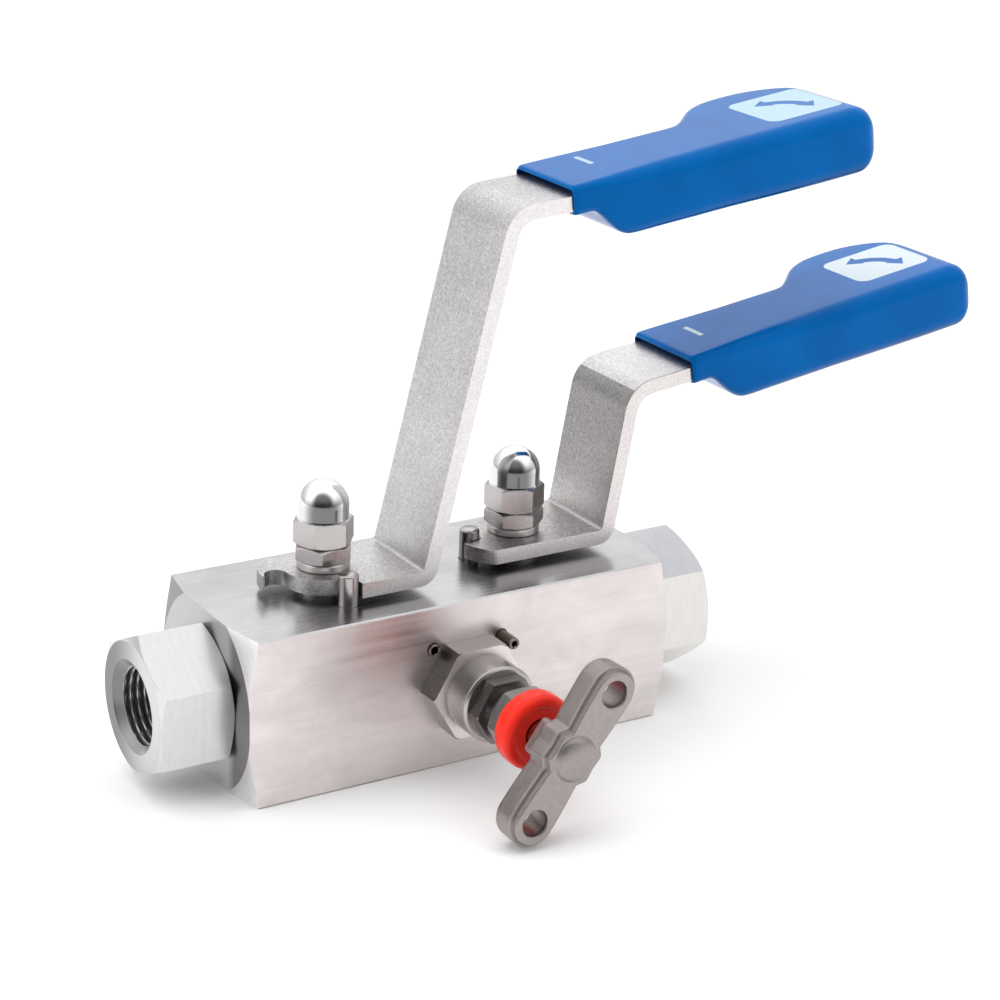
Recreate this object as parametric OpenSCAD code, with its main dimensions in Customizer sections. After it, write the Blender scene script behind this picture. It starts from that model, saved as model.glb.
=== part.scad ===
// Double block and bleed valve manifold: two quarter-turn ball valves in line in one bar-stock
// body, with a needle bleed valve between them. The flow axis is X, the bleed axis is Y and
// the lever stems stand along Z. The origin is the centre of the body's bottom face.

/* [Body] */
// Length of the body block along the flow axis
body_l = 115.2; // [112:0.2:118]
// Depth of the body block, front to back
body_d = 47; // [46:0.5:50]
// Height of the body block
body_h = 42; // [40:0.5:46]
// Radius of the flat turned circle on each end face
end_circle_r = 23.8; // [23:0.1:25]
// Deburring chamfer along the long edges
edge_ch = 0.4; // [0.1:0.1:0.8]
// Flow bore diameter
flow_bore = 10; // [8:0.5:10]

/* [End connectors] */
// Width across the flats of each connector's hexagon
conn_af = 32; // [30:0.5:34]
// Distance from the body's centre to each connector's outer face
conn_reach = 76.3; // [74:0.1:80]
// Clocking of the left hexagon about the flow axis, in degrees
left_clock = 4.15; // [-30:0.05:30]
// Clocking of the right hexagon about the flow axis, in degrees
right_clock = -8.5; // [-30:0.05:30]
// Radius of the tapped hole's wall
port_r = 9.1; // [9:0.05:9.3]
// Radius of the countersink at the port's mouth
port_mouth_r = 11; // [10.6:0.1:11.2]

/* [Ball valves] */
// Distance from the body's centre to each stem axis
stem_x = 26.5; // [26:0.1:27]
// Ball diameter
ball_d = 20; // [19:0.5:20]
// Stem shaft diameter
stem_d = 9; // [8.8:0.1:9]
// Across-flats size of the stem's double-D drive
stem_flats = 6.5; // [6:0.1:7]
// Clearance between a ball and its seats
seat_gap = 0.15; // [0.1:0.05:0.3]

/* [Levers] */
// Width of the lever strip
strip_w = 24.6; // [24:0.1:26]
// Thickness of the lever strip
strip_t = 3.8; // [3.4:0.1:4]
// Gap between the body's top and the underside of a lever plate
plate_gap = 1.6; // [1.5:0.1:2]
// Offset of the tall lever's strip from its stem axis, towards the front
tall_offset = 2.2; // [1.5:0.1:2.3]
// Offset of the short lever's strip from its stem axis, towards the back
short_offset = 1.6; // [1.5:0.1:2.3]
// Radius of the rounded end of each lever plate
plate_end_r = 15.9; // [15.6:0.1:16.4]
// Distance from the stem axis to the foot of each arm
arm_foot = 19.3; // [19:0.1:21]
// Rise of the tall lever from plate to grip
tall_rise = 86; // [80:1:92]
// Rise of the short lever from plate to grip
short_rise = 36.7; // [34:0.1:40]
// Lean of the tall lever's arm from vertical, in degrees
tall_lean = 14; // [12:0.5:16]
// Lean of the short lever's arm from vertical, in degrees
short_lean = 10.1; // [9:0.1:12]
// Upward pitch of the tall lever's grip end, in degrees
tall_pitch = 4; // [3:0.5:5]
// Upward pitch of the short lever's grip end, in degrees
short_pitch = 7; // [6:0.5:8]
// Length of strip from the upper bend to its end
strip_run = 94; // [88:1:96]

/* [Grips] */
// Length of each grip
grip_l = 90.6; // [88:0.1:94]
// Width of the grip's neck
grip_w = 26.2; // [26:0.1:28]
// Pitch of the tall lever's grip, in degrees
tall_grip_pitch = 7.7; // [7:0.1:8.5]
// Pitch of the short lever's grip, in degrees
short_grip_pitch = 9.1; // [8.5:0.1:10]

/* [Stops and nuts] */
// Radius of the circle the stop pins stand on
stop_circle = 12.6; // [12.5:0.1:12.8]
// Stop pin diameter
stop_pin_d = 5; // [4.8:0.1:5]
// Height of a stop pin above the body
stop_pin_h = 7.9; // [7.5:0.1:8.5]
// Width across the flats of the jam nuts and acorn nuts
nut_af = 13; // [12.8:0.1:13.2]
// Height of a jam nut
jam_h = 4; // [3.5:0.1:4.5]
// Total height of an acorn nut
acorn_h = 15.8; // [15:0.1:16.5]

/* [Bleed valve] */
// Width across the flats of the bonnet's hexagon
bonnet_af = 22.2; // [21.5:0.1:23]
// Radius of the bonnet's round shoulder
bonnet_r = 9.7; // [9.4:0.1:10]
// Lead of the spindle's screw thread
spindle_lead = 1.25; // [1:0.05:1.5]
// Radius of the red dust cap
cap_r = 9.4; // [9:0.1:10]
// Angle of the T-bar above the flow axis, in degrees
tbar_angle = 54.1; // [0:0.1:90]
// Distance from the spindle axis to each hole in the T-bar
tbar_hole_x = 17.05; // [16:0.05:18]
// Radius of the holes in the T-bar
tbar_hole_r = 3.2; // [3:0.1:3.4]

/* [Hidden] */
$fn = 64;
zc = body_h / 2;                     // height of the flow axis
zp = body_h + plate_gap + strip_t;   // top of the lever plates
front = body_d / 2;
half_l = body_l / 2;
cav_r = 11.2;                        // ball cavity radius
cav_in = 14.5;                       // where a ball cavity starts
cav_out = 42.5;                      // where the connector thread bore starts
thr_r = 13.5;                        // connector thread bore radius
z_nut = zp + 2.1;                    // seat of the jam nuts
z_acorn = z_nut + jam_h;             // seat of the acorn nuts
steel = [0.76, 0.74, 0.73];
bright = [0.84, 0.84, 0.85];
blast = [0.70, 0.69, 0.68];
cast = [0.60, 0.57, 0.55];
blue = [0.02, 0.32, 0.66];
red = [0.86, 0.13, 0.06];
ptfe = [0.93, 0.93, 0.90];
black = [0.06, 0.06, 0.07];

// Solid of revolution about the flow axis; points are [radius, distance along +X].
module about_x(pts) { translate([0, 0, zc]) rotate([0, 90, 0]) rotate_extrude() polygon(pts); }
// Solid of revolution about the bleed axis; points are [radius, distance towards the front].
module about_bleed(pts) { translate([0, 0, zc]) rotate([90, 0, 0]) rotate_extrude() polygon(pts); }
// Solid of revolution about a stem axis; points are [radius, height].
module about_stem(pts) { rotate_extrude() polygon(pts); }
module at_left() { translate([-stem_x, 0, 0]) children(); }
module at_right() { translate([stem_x, 0, 0]) children(); }
// Hexagonal nut with chamfered rims, standing on z0.
module nut(af, z0, h, hole_r) {
    r = af / 2 / cos(30);
    c = (r - af / 2) * 0.62;
    difference() {
        intersection() {
            translate([0, 0, z0]) cylinder(r = r, h = h, $fn = 6);
            about_stem([[0, z0], [af / 2 - 0.1, z0], [r + 0.01, z0 + c], [r + 0.01, z0 + h - c],
                        [af / 2 - 0.1, z0 + h], [0, z0 + h]]);
        }
        translate([0, 0, z0 - 1]) cylinder(r = hole_r, h = h + 2);
    }
}

// ---- Body ----------------------------------------------------------------------------------
module body_block() {
    intersection() {
        translate([-half_l, 0, zc]) rotate([90, 0, 90]) linear_extrude(body_l)
            polygon([[-front + edge_ch, -zc], [front - edge_ch, -zc], [front, -zc + edge_ch],
                     [front, zc - edge_ch], [front - edge_ch, zc], [-front + edge_ch, zc],
                     [-front, zc - edge_ch], [-front, -zc + edge_ch]]);
        about_x([[0, -half_l], [end_circle_r, -half_l], [end_circle_r + 12, -half_l + 3.81],
                 [end_circle_r + 12, half_l - 3.81], [end_circle_r, half_l], [0, half_l]]);
    }
}
module flow_side() {
    about_x([[0, 0], [flow_bore / 2, 0], [flow_bore / 2, cav_in], [cav_r, cav_in],
             [cav_r, cav_out], [thr_r, cav_out], [thr_r, half_l + 1], [0, half_l + 1]]);
}
module stem_bore() {
    about_stem([[0, zc + 7], [6.25, zc + 7], [6.25, 35], [stem_d / 2 + 0.05, 35],
                [stem_d / 2 + 0.05, 36.2], [7, 36.2], [7, body_h + 1], [0, body_h + 1]]);
}
module valve_body() {
    color(steel) difference() {
        body_block();
        flow_side();
        mirror([1, 0, 0]) flow_side();
        at_left() stem_bore();
        at_right() stem_bore();
        at_left() translate([0, -stop_circle, body_h - 7]) cylinder(d = stop_pin_d, h = 8);
        at_right() translate([-stop_circle, 0, body_h - 7]) cylinder(d = stop_pin_d, h = 8);
        // bleed way from the middle of the flow bore to the bonnet
        about_bleed([[0, 2], [2, 2], [2, 11], [3.3, 12.3], [4.6, 12.3], [4.6, 15.5],
                     [8.05, 15.5], [8.05, front + 1], [0, front + 1]]);
        // vent way and tapped vent port in the underside
        translate([0, -14, -1]) cylinder(r = 5.55, h = 11.5);
        translate([0, -13.7, 9]) cylinder(r = 1.2, h = zc - 9 - 3);
        for (s = [-1, 1]) translate([s * 9.4, 0, zc + 10.2]) rotate([90, 0, 0])
            translate([0, 0, 12]) cylinder(r = 1.5, h = front);
    }
}

// ---- End connectors ------------------------------------------------------------------------
module end_connector() {
    cr = conn_af / 2 / cos(30);
    difference() {
        union() {
            about_x([[0, 38.6], [cav_r - 0.1, 38.6], [cav_r - 0.1, cav_out + 0.1],
                     [thr_r - 0.05, cav_out + 0.1], [thr_r - 0.05, 53.8], [11.7, 53.8],
                     [11.7, 56.2], [thr_r - 0.05, 56.2], [thr_r - 0.05, half_l + 1],
                     [0, half_l + 1]]);
            intersection() {
                translate([half_l, 0, zc]) rotate([0, 90, 0])
                    cylinder(r = cr, h = conn_reach - half_l, $fn = 6);
                about_x([[0, half_l], [conn_af / 2 - 0.2, half_l], [cr + 0.01, half_l + 1.3],
                         [cr + 0.01, conn_reach - 1.3], [conn_af / 2 - 0.2, conn_reach],
                         [0, conn_reach]]);
            }
        }
        about_x([[0, 37], [flow_bore / 2, 37], [flow_bore / 2, 60.3], [port_r, 60.3],
                 [port_r, conn_reach - 1.9], [port_mouth_r + 0.5, conn_reach + 0.5],
                 [0, conn_reach + 0.5]]);
    }
}
module clocked(a) { translate([0, 0, zc]) rotate([a, 0, 0]) translate([0, 0, -zc]) children(); }
module left_end_connector() { color(bright) clocked(left_clock) mirror([1, 0, 0]) end_connector(); }
module right_end_connector() { color(bright) clocked(right_clock) end_connector(); }
module connector_o_rings() {
    color(black) for (s = [-1, 1]) translate([s * 55, 0, zc]) rotate([0, 90, 0])
        rotate_extrude() translate([12.575, 0]) circle(r = 0.85);
}

// ---- Balls, seats and stems ----------------------------------------------------------------
module ball() {
    difference() {
        translate([0, 0, zc]) sphere(r = ball_d / 2);
        translate([-15, 0, zc]) rotate([0, 90, 0]) cylinder(r = flow_bore / 2, h = 30);
        translate([-2, -15, zc + 7]) cube([4, 30, 10]);
    }
}
module left_ball() { color(bright) at_left() ball(); }
module right_ball() { color(bright) at_right() ball(); }
module seat_ring(x0) {
    difference() {
        translate([x0, 0, zc]) rotate([0, 90, 0]) difference() {
            cylinder(r = cav_r - 0.1, h = 4.8);
            translate([0, 0, -1]) cylinder(r = flow_bore / 2, h = 8);
        }
        translate([stem_x, 0, zc]) sphere(r = ball_d / 2 + seat_gap);
    }
}
module seat_rings() {
    color(ptfe) for (m = [0, 1]) mirror([m, 0, 0]) {
        seat_ring(cav_in);
        seat_ring(33.75);
    }
}
module stem() {
    r = stem_d / 2;
    translate([-1.9, -4, zc + 7.1]) cube([3.8, 8, 4]);
    about_stem([[0, 31.3], [5.95, 31.3], [5.95, 34.4], [r, 34.4], [r, body_h + plate_gap],
                [0, body_h + plate_gap]]);
    intersection() {
        translate([0, 0, body_h + plate_gap - 0.5]) cylinder(r = r, h = strip_t + 0.5);
        translate([-stem_flats / 2, -6, 40]) cube([stem_flats, 12, 20]);
    }
    about_stem([[0, zp - 0.5], [3.25, zp - 0.5], [3.25, zp], [4, zp], [4, z_acorn + 8.6],
                [3.2, z_acorn + 9.4], [0, z_acorn + 9.4]]);
}
module left_stem() { color(steel) at_left() stem(); }
module right_stem() { color(steel) at_right() stem(); }
module ring(r0, r1, z0, z1) { about_stem([[r0, z0], [r1, z0], [r1, z1], [r0, z1]]); }
module stem_thrust_washers() {
    color(ptfe) for (s = [-1, 1]) translate([s * stem_x, 0, 0]) ring(4.6, 6.0, 34.45, 35);
}
module stem_packings() {
    color(ptfe) for (s = [-1, 1]) translate([s * stem_x, 0, 0]) for (i = [0:2])
        about_stem([[4.56, 36.2 + 1.2 * i], [6.95, 36.2 + 1.2 * i], [6.95, 37.3 + 1.2 * i],
                    [5.75, 37.38 + 1.2 * i], [4.56, 37.3 + 1.2 * i]]);
}
module packing_glands() {
    color(steel) for (s = [-1, 1]) translate([s * stem_x, 0, 0])
        ring(4.8, 6.95, 39.8, body_h + plate_gap - 0.2);
}

// ---- Levers --------------------------------------------------------------------------------
function ln(a) = [-sin(a), cos(a)];
function hd(a) = [cos(a), sin(a)];
bend_in = 1.5;      // inside radius of the lower bend
bend_top = 8.7;     // outside radius of the upper bend
function up_corner(rise, lean) = [arm_foot + rise * tan(lean), zp + rise];
// Side profile of a bent strip: its upper face from plate to end, then its lower face back.
function strip_face(rise, lean, pitch, off) =
    let (a1 = 90 - lean, c0 = [arm_foot, zp], c2 = up_corner(rise, lean),
         t1 = bend_in * tan(a1 / 2), t2 = bend_top * tan((a1 - pitch) / 2),
         k1 = c0 - t1 * hd(0) + bend_in * ln(0), k2 = c2 - t2 * hd(a1) - bend_top * ln(a1))
    concat([[-17.5, zp - off]],
           [for (i = [0:10]) k1 - (bend_in + off) * ln(a1 * i / 10)],
           [for (i = [0:14]) k2 + (bend_top - off) * ln(a1 + (pitch - a1) * i / 14)],
           [c2 + strip_run * hd(pitch) - off * ln(pitch)]);
function flip(p) = [for (i = [len(p) - 1:-1:0]) p[i]];
module bent_strip(rise, lean, pitch, y0) {
    translate([0, y0 + strip_w, 0]) rotate([90, 0, 0]) linear_extrude(strip_w)
        polygon(concat(strip_face(rise, lean, pitch, 0), flip(strip_face(rise, lean, pitch, strip_t))));
}
// Recess that swings past the stop pin: a quarter ring with a pocket at each end.
module stop_recess() {
    pr = stop_pin_d / 2 + 0.3;
    linear_extrude(20) {
        translate([-stop_circle, 0]) circle(r = pr);
        translate([0, -stop_circle]) circle(r = pr);
        translate([0, -stop_circle - 12]) square([pr, 12]);
        difference() {
            polygon([[0, 0.5], [-24, 0.5], [-24, -24], [0, -24]]);
            circle(r = stop_circle - pr);
        }
    }
}
// Corner left outside a blend of radius r between the plate's round end and a strip edge at y = e.
module end_blend(e, side, r) {
    cy = e - r;
    cx = -sqrt(pow(plate_end_r - r, 2) - cy * cy);
    a1 = atan2(cy, cx);
    scale([1, side]) polygon(concat([[cx * 3, cy * 3], [cx * 3, cy + 24], [cx, cy + 24]],
        [for (i = [0:6]) let (a = 90 + (a1 - 90) * i / 6, q = i % 6 == 0 ? r + 0.03 : r)
            [cx + q * cos(a), cy + q * sin(a)]]));
}
module lever(rise, lean, pitch, y0, turn) {
    difference() {
        bent_strip(rise, lean, pitch, y0);
        translate([0, 0, body_h]) linear_extrude(10) difference() {
            translate([-24, -24]) square([24, 48]);
            circle(r = plate_end_r);
        }
        // the plate's rounded end runs smoothly into the strip's edge
        translate([0, 0, body_h]) linear_extrude(10) end_blend(turn == 0 ? y0 + strip_w : -y0,
                                                               turn == 0 ? 1 : -1,
                                                               turn == 0 ? 8 : 3);
        translate([0, 0, body_h - 2]) rotate([0, 0, turn]) stop_recess();
        intersection() {
            translate([0, 0, body_h]) cylinder(r = stem_d / 2 + 0.05, h = 10);
            translate([-stem_flats / 2 - 0.05, -8, body_h]) cube([stem_flats + 0.1, 16, 10]);
        }
    }
}
module left_lever() {
    color(blast) at_left() lever(tall_rise, tall_lean, tall_pitch, -strip_w / 2 - tall_offset, 0);
}
module right_lever() {
    color(blast) at_right() lever(short_rise, short_lean, short_pitch, -strip_w / 2 + short_offset, -90);
}

// ---- Grips ---------------------------------------------------------------------------------
// Side outline of a grip: straight top, squarish nose, deep underside and a shallow neck.
function grip_side() = concat(
    [[0, 0], [grip_l - 7, 0]],
    [for (i = [1:6]) [grip_l - 7 + 7 * sin(i * 15), -6 + 6 * cos(i * 15)]],
    [for (i = [0:6]) [grip_l - 6 + 6 * cos(i * 15), -11.3 - 6 * sin(i * 15)]],
    [[76, -17.25], [62, -17.05], [45, -16.65], [31, -16.35], [18.6, -16], [15.6, -15.7],
     [13.8, -15], [11.6, -13.3], [9.6, -11.1], [7.4, -8.7], [6.2, -7.8], [4.6, -7.45],
     [0, -7.4]]);
// Plan outline: straight front edge, back edge swelling towards the nose.
function grip_plan() = let (h = grip_w / 2) concat(
    [[-2, -h], [grip_l - 4.8, -h]],
    [for (i = [1:6]) [grip_l - 4.8 + 4.8 * sin(i * 15), -h + 4.8 - 4.8 * cos(i * 15)]],
    [[grip_l, 0], [grip_l - 0.2, 5], [grip_l - 1, 9.6], [grip_l - 2.8, 14.3],
     [grip_l - 5.5, 18.4], [grip_l - 8.6, 21.2], [grip_l - 12.1, 23.1], [grip_l - 15.6, 24.3],
     [grip_l - 19.1, 24.95], [grip_l - 23, 25.1], [grip_l - 27.6, 24.8], [grip_l - 31.6, 23.7],
     [grip_l - 35.3, 21.6], [grip_l - 39.6, 17.6], [grip_l - 43.1, 14.6], [grip_l - 45.6, h + 0.3],
     [grip_l - 48.6, h], [-2, h]]);
module grip(rise, lean, pitch, gpitch, mouth_x, mouth_z, yc) {
    c2 = up_corner(rise, lean);
    difference() {
        translate([mouth_x, yc, body_h + mouth_z]) rotate([0, -gpitch, 0]) intersection() {
            translate([0, 50, 0]) rotate([90, 0, 0]) linear_extrude(100) polygon(grip_side());
            translate([0, 0, -30]) linear_extrude(60) polygon(grip_plan());
        }
        // pocket for the strip's end
        translate([c2[0], yc, c2[1]]) rotate([0, -pitch, 0])
            translate([-5, -strip_w / 2 - 0.05, -strip_t - 0.05])
                cube([strip_run + 5.1, strip_w + 0.1, strip_t + 0.1]);
        // the sleeve stands away from the strip at its mouth
        translate([mouth_x, yc, body_h + mouth_z]) rotate([0, -gpitch, 0])
            translate([-3, -strip_w / 2 - 0.5, -2.6]) cube([8, strip_w + 1, 1.5]);
    }
}
module left_grip() {
    color(blue) at_left() grip(tall_rise, tall_lean, tall_pitch, tall_grip_pitch,
                               56.8, 94.9, -tall_offset);
}
module right_grip() {
    color(blue) at_right() grip(short_rise, short_lean, short_pitch, short_grip_pitch,
                                43.35, 46.95, short_offset);
}

// ---- Stem fasteners and stop pins ------------------------------------------------------------
module collar() {
    about_stem([[4.1, zp], [6.4, zp], [6.4, z_nut - 0.3], [6.1, z_nut], [4.1, z_nut]]);
}
module left_collar() { color(bright) at_left() collar(); }
module right_collar() { color(bright) at_right() collar(); }
module left_jam_nut() { color(bright) at_left() rotate([0, 0, 1]) nut(nut_af, z_nut, jam_h, 4.02); }
module right_jam_nut() { color(bright) at_right() rotate([0, 0, 38]) nut(nut_af, z_nut, jam_h, 4.02); }
module acorn() {
    r = nut_af / 2 / cos(30);
    dr = 6.15;
    top = z_acorn + acorn_h;
    difference() {
        union() {
            intersection() {
                translate([0, 0, z_acorn]) cylinder(r = r, h = 6.5, $fn = 6);
                about_stem([[0, z_acorn], [nut_af / 2 - 0.1, z_acorn], [r + 0.01, z_acorn + 0.6],
                            [r + 0.01, z_acorn + 5.9], [nut_af / 2 - 0.1, z_acorn + 6.5],
                            [0, z_acorn + 6.5]]);
            }
            translate([0, 0, z_acorn + 6]) cylinder(r = dr, h = acorn_h - 6 - dr);
            translate([0, 0, top - dr]) sphere(r = dr);
        }
        translate([0, 0, z_acorn - 1]) cylinder(r = 4.02, h = 11);
    }
}
module left_acorn_nut() { color(bright) at_left() rotate([0, 0, 48]) acorn(); }
module right_acorn_nut() { color(bright) at_right() rotate([0, 0, 34.7]) acorn(); }
module stop_pin() {
    r = stop_pin_d / 2;
    about_stem([[0, body_h - 6.8], [r - 0.02, body_h - 6.8], [r - 0.02, body_h + stop_pin_h - 0.5],
                [r - 0.5, body_h + stop_pin_h], [0, body_h + stop_pin_h]]);
}
module lever_stop_pins() {
    color(bright) {
        at_left() translate([0, -stop_circle, 0]) stop_pin();
        at_right() translate([-stop_circle, 0, 0]) stop_pin();
    }
}
// Spring pins beside the bonnet's hexagon, pressed in to different depths.
module spring_pin(x, t1) {
    translate([x, 0, 10.2]) about_bleed([[0.75, t1 - 11], [1.48, t1 - 11], [1.48, t1 - 0.3],
                                         [1.25, t1], [0.75, t1]]);
}
module bonnet_lock_pins() { color(steel) { spring_pin(-9.4, 24.4); spring_pin(9.4, 29.6); } }

// ---- Bleed valve ---------------------------------------------------------------------------
module bleed_bonnet() {
    cr = bonnet_af / 2 / cos(30);
    color(steel) difference() {
        union() {
            about_bleed([[0, 16.35], [8, 16.35], [8, front + 0.5], [0, front + 0.5]]);
            intersection() {
                translate([0, -front, zc]) rotate([90, 0, 0]) cylinder(r = cr, h = 6.8, $fn = 6);
                about_bleed([[0, front], [cr + 0.01, front], [cr + 0.01, front + 5.9],
                             [bonnet_af / 2 - 0.1, front + 6.8], [0, front + 6.8]]);
            }
            about_bleed([[0, front + 6], [bonnet_r, front + 6], [bonnet_r, 38.5],
                         [bonnet_r - 0.4, 38.9], [0, 38.9]]);
        }
        about_bleed([[0, 15], [4.6, 15], [4.6, 20], [4.05, 20], [4.05, 34], [5.5, 34],
                     [5.5, 40], [0, 40]]);
    }
}
module bonnet_seal() { color(ptfe) about_bleed([[5, 15.5], [8, 15.5], [8, 16.35], [5, 16.35]]); }
module needle_tip() {
    color(bright) about_bleed([[0, 10.45], [1.3, 10.45], [3, 12.15], [3, 17], [1.2, 17],
                               [1.2, 20.8], [0, 20.8]]);
}
module spindle() {
    color(bright) about_bleed([[1.25, 17.05], [3.4, 17.05], [3.4, 18], [4, 18.6], [4, 28],
                               [3.5, 28.6], [3.5, 68], [0, 68], [0, 21], [1.25, 21]]);
}
module spindle_packing() {
    color(ptfe) for (i = [0:1])
        about_bleed([[3.56, 34 + 1.7 * i], [5.45, 34 + 1.7 * i], [5.45, 35.6 + 1.7 * i],
                     [3.56, 35.6 + 1.7 * i]]);
}
module packing_follower() {
    color(bright) about_bleed([[3.56, 37.4], [5.4, 37.4], [5.4, 38.4], [3.56, 38.4]]);
}
module packing_bolt() {
    cr = 15 / 2 / cos(30);
    color(steel) difference() {
        union() {
            about_bleed([[0, 38.4], [5.45, 38.4], [5.45, 47.4], [0, 47.4]]);
            intersection() {
                translate([0, -46.6, zc]) rotate([90, 0, 0]) cylinder(r = cr, h = 4.3, $fn = 6);
                about_bleed([[0, 46.6], [7.4, 46.6], [cr + 0.01, 47.3], [cr + 0.01, 50.9],
                             [0, 50.9]]);
            }
            about_bleed([[0, 50.5], [6.4, 50.5], [6.4, 52.5], [0, 52.5]]);
        }
        about_bleed([[0, 37], [3.56, 37], [3.56, 53], [0, 53]]);
    }
}
module packing_lock_nut() {
    color(steel) translate([0, 0, zc]) rotate([90, 0, 0]) nut(15, 38.95, 3.9, 5.5);
}
module dust_cap() {
    r = cap_r;
    color(red) about_bleed([[6.7, 51], [r - 1.1, 51], [r - 0.35, 51.35], [r, 52.1], [r, 55.6],
                            [r - 0.3, 56.5], [r - 1.1, 57], [r - 1.8, 57.1], [5.6, 57.1],
                            [4.9, 56.6], [3.8, 56.6], [3.8, 52.6], [6.7, 52.6]]);
}
// Arms of half-width w with round ends, and a wider hub.
module bar_outline(w, l, hw, hl) {
    square([2 * l, 2 * w], center = true);
    translate([l, 0]) circle(r = w);
    translate([-l, 0]) circle(r = w);
    square([2 * hl, 2 * hw], center = true);
}
module tbar_slab(t0, t1) {
    translate([0, -t0, zc]) rotate([90, 0, 0]) linear_extrude(t1 - t0)
        rotate(tbar_angle) children();
}
module t_bar() {
    color(cast) difference() {
        union() {
            tbar_slab(64, 70.4) bar_outline(5.4, 17.5, 6.7, 4.4);
            tbar_slab(70, 71.5) bar_outline(4.5, 17.4, 5.8, 3.8);
            tbar_slab(61.6, 64.5) square([8.8, 13.4], center = true);
            intersection() {
                tbar_slab(70, 74) circle(r = 5.3);
                translate([0, -61.9, zc]) sphere(r = 10.9);
            }
        }
        about_bleed([[0, 61], [3.52, 61], [3.52, 68.2], [0, 68.2]]);
        for (s = [-1, 1]) tbar_slab(60, 75) translate([s * tbar_hole_x, 0]) circle(r = tbar_hole_r);
        // tapped hole for the set screw, on the side away from the left end
        translate([0, -65.6, zc]) rotate([0, -tbar_angle, 0]) translate([0, 0, -8])
            cylinder(r = 1.7, h = 6);
    }
}
module t_bar_set_screw() {
    color(black) translate([0, -65.6, zc]) rotate([0, -tbar_angle, 0]) difference() {
        translate([0, 0, -6.5]) cylinder(r = 1.68, h = 2.9);
        translate([0, 0, -7]) cylinder(r = 0.9, h = 1.8, $fn = 6);
    }
}

valve_body();
left_end_connector();
right_end_connector();
connector_o_rings();
left_ball();
right_ball();
seat_rings();
left_stem();
right_stem();
stem_thrust_washers();
stem_packings();
packing_glands();
left_lever();
right_lever();
left_grip();
right_grip();
left_collar();
right_collar();
left_jam_nut();
right_jam_nut();
left_acorn_nut();
right_acorn_nut();
lever_stop_pins();
bonnet_lock_pins();
bleed_bonnet();
bonnet_seal();
needle_tip();
spindle();
spindle_packing();
packing_follower();
packing_bolt();
packing_lock_nut();
dust_cap();
t_bar();
t_bar_set_screw();
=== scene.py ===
import bpy
import bmesh
import math
import numpy as np
from mathutils import Matrix, Vector


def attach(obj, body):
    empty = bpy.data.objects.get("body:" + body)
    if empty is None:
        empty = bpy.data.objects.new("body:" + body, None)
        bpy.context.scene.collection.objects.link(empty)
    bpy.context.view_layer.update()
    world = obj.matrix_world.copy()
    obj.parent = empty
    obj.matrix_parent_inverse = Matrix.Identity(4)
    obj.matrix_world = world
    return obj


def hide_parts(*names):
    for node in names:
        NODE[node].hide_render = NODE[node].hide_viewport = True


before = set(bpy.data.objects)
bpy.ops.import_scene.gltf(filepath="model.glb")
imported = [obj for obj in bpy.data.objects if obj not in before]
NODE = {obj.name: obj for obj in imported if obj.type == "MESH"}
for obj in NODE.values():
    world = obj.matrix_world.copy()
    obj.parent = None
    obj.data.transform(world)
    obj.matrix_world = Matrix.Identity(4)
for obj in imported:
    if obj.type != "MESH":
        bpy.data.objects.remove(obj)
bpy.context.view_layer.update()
S = 0.001                     # the piece dimensions below are in millimetres
ZC = 21.0                     # height of the flow axis
TOP = 42.0                    # the body's top
STEM = 26.5                   # stem axes at x = -STEM and +STEM
TBAR = math.radians(54.1)     # clocking of the T-bar
scene = bpy.context.scene


# ---------------------------------------------------------------- mesh tools
def make(name, verts, faces):
    me = bpy.data.meshes.new(name)
    me.from_pydata([tuple(float(c) * S for c in v) for v in verts], [], [tuple(f) for f in faces])
    bm = bmesh.new()
    bm.from_mesh(me)
    bmesh.ops.remove_doubles(bm, verts=bm.verts, dist=2e-7)
    bmesh.ops.recalc_face_normals(bm, faces=bm.faces)
    bm.to_mesh(me)
    bm.free()
    ob = bpy.data.objects.new(name, me)
    scene.collection.objects.link(ob)
    return ob


def place(axis, r, ang, h, at):
    c, s = math.cos(ang), math.sin(ang)
    if axis == "z":
        return (at[0] + r * c, at[1] + r * s, at[2] + h)
    if axis == "x":
        return (at[0] + h, at[1] + r * c, at[2] + r * s)
    return (at[0] + r * c, at[1] - h, at[2] + r * s)          # "b": the bleed axis, towards -Y


def lathe(name, prof, axis="z", at=(0, 0, 0), seg=128, loop=False):
    """Solid of revolution. prof is [(radius, height)]; loop=True joins its last point to its first."""
    verts, rows = [], []
    for r, h in prof:
        if r < 1e-9:
            verts.append(place(axis, 0, 0, h, at))
            rows.append([len(verts) - 1] * seg)
        else:
            k = len(verts)
            verts += [place(axis, r, 2 * math.pi * i / seg, h, at) for i in range(seg)]
            rows.append(list(range(k, k + seg)))
    faces = []
    pairs = [(i, i + 1) for i in range(len(rows) - 1)] + ([(len(rows) - 1, 0)] if loop else [])
    for a, b in pairs:
        for i in range(seg):
            j = (i + 1) % seg
            f = [rows[a][i], rows[a][j], rows[b][j], rows[b][i]]
            f = [v for n, v in enumerate(f) if v not in f[:n]]
            if len(f) > 2:
                faces.append(f)
    return make(name, verts, faces)


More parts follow.
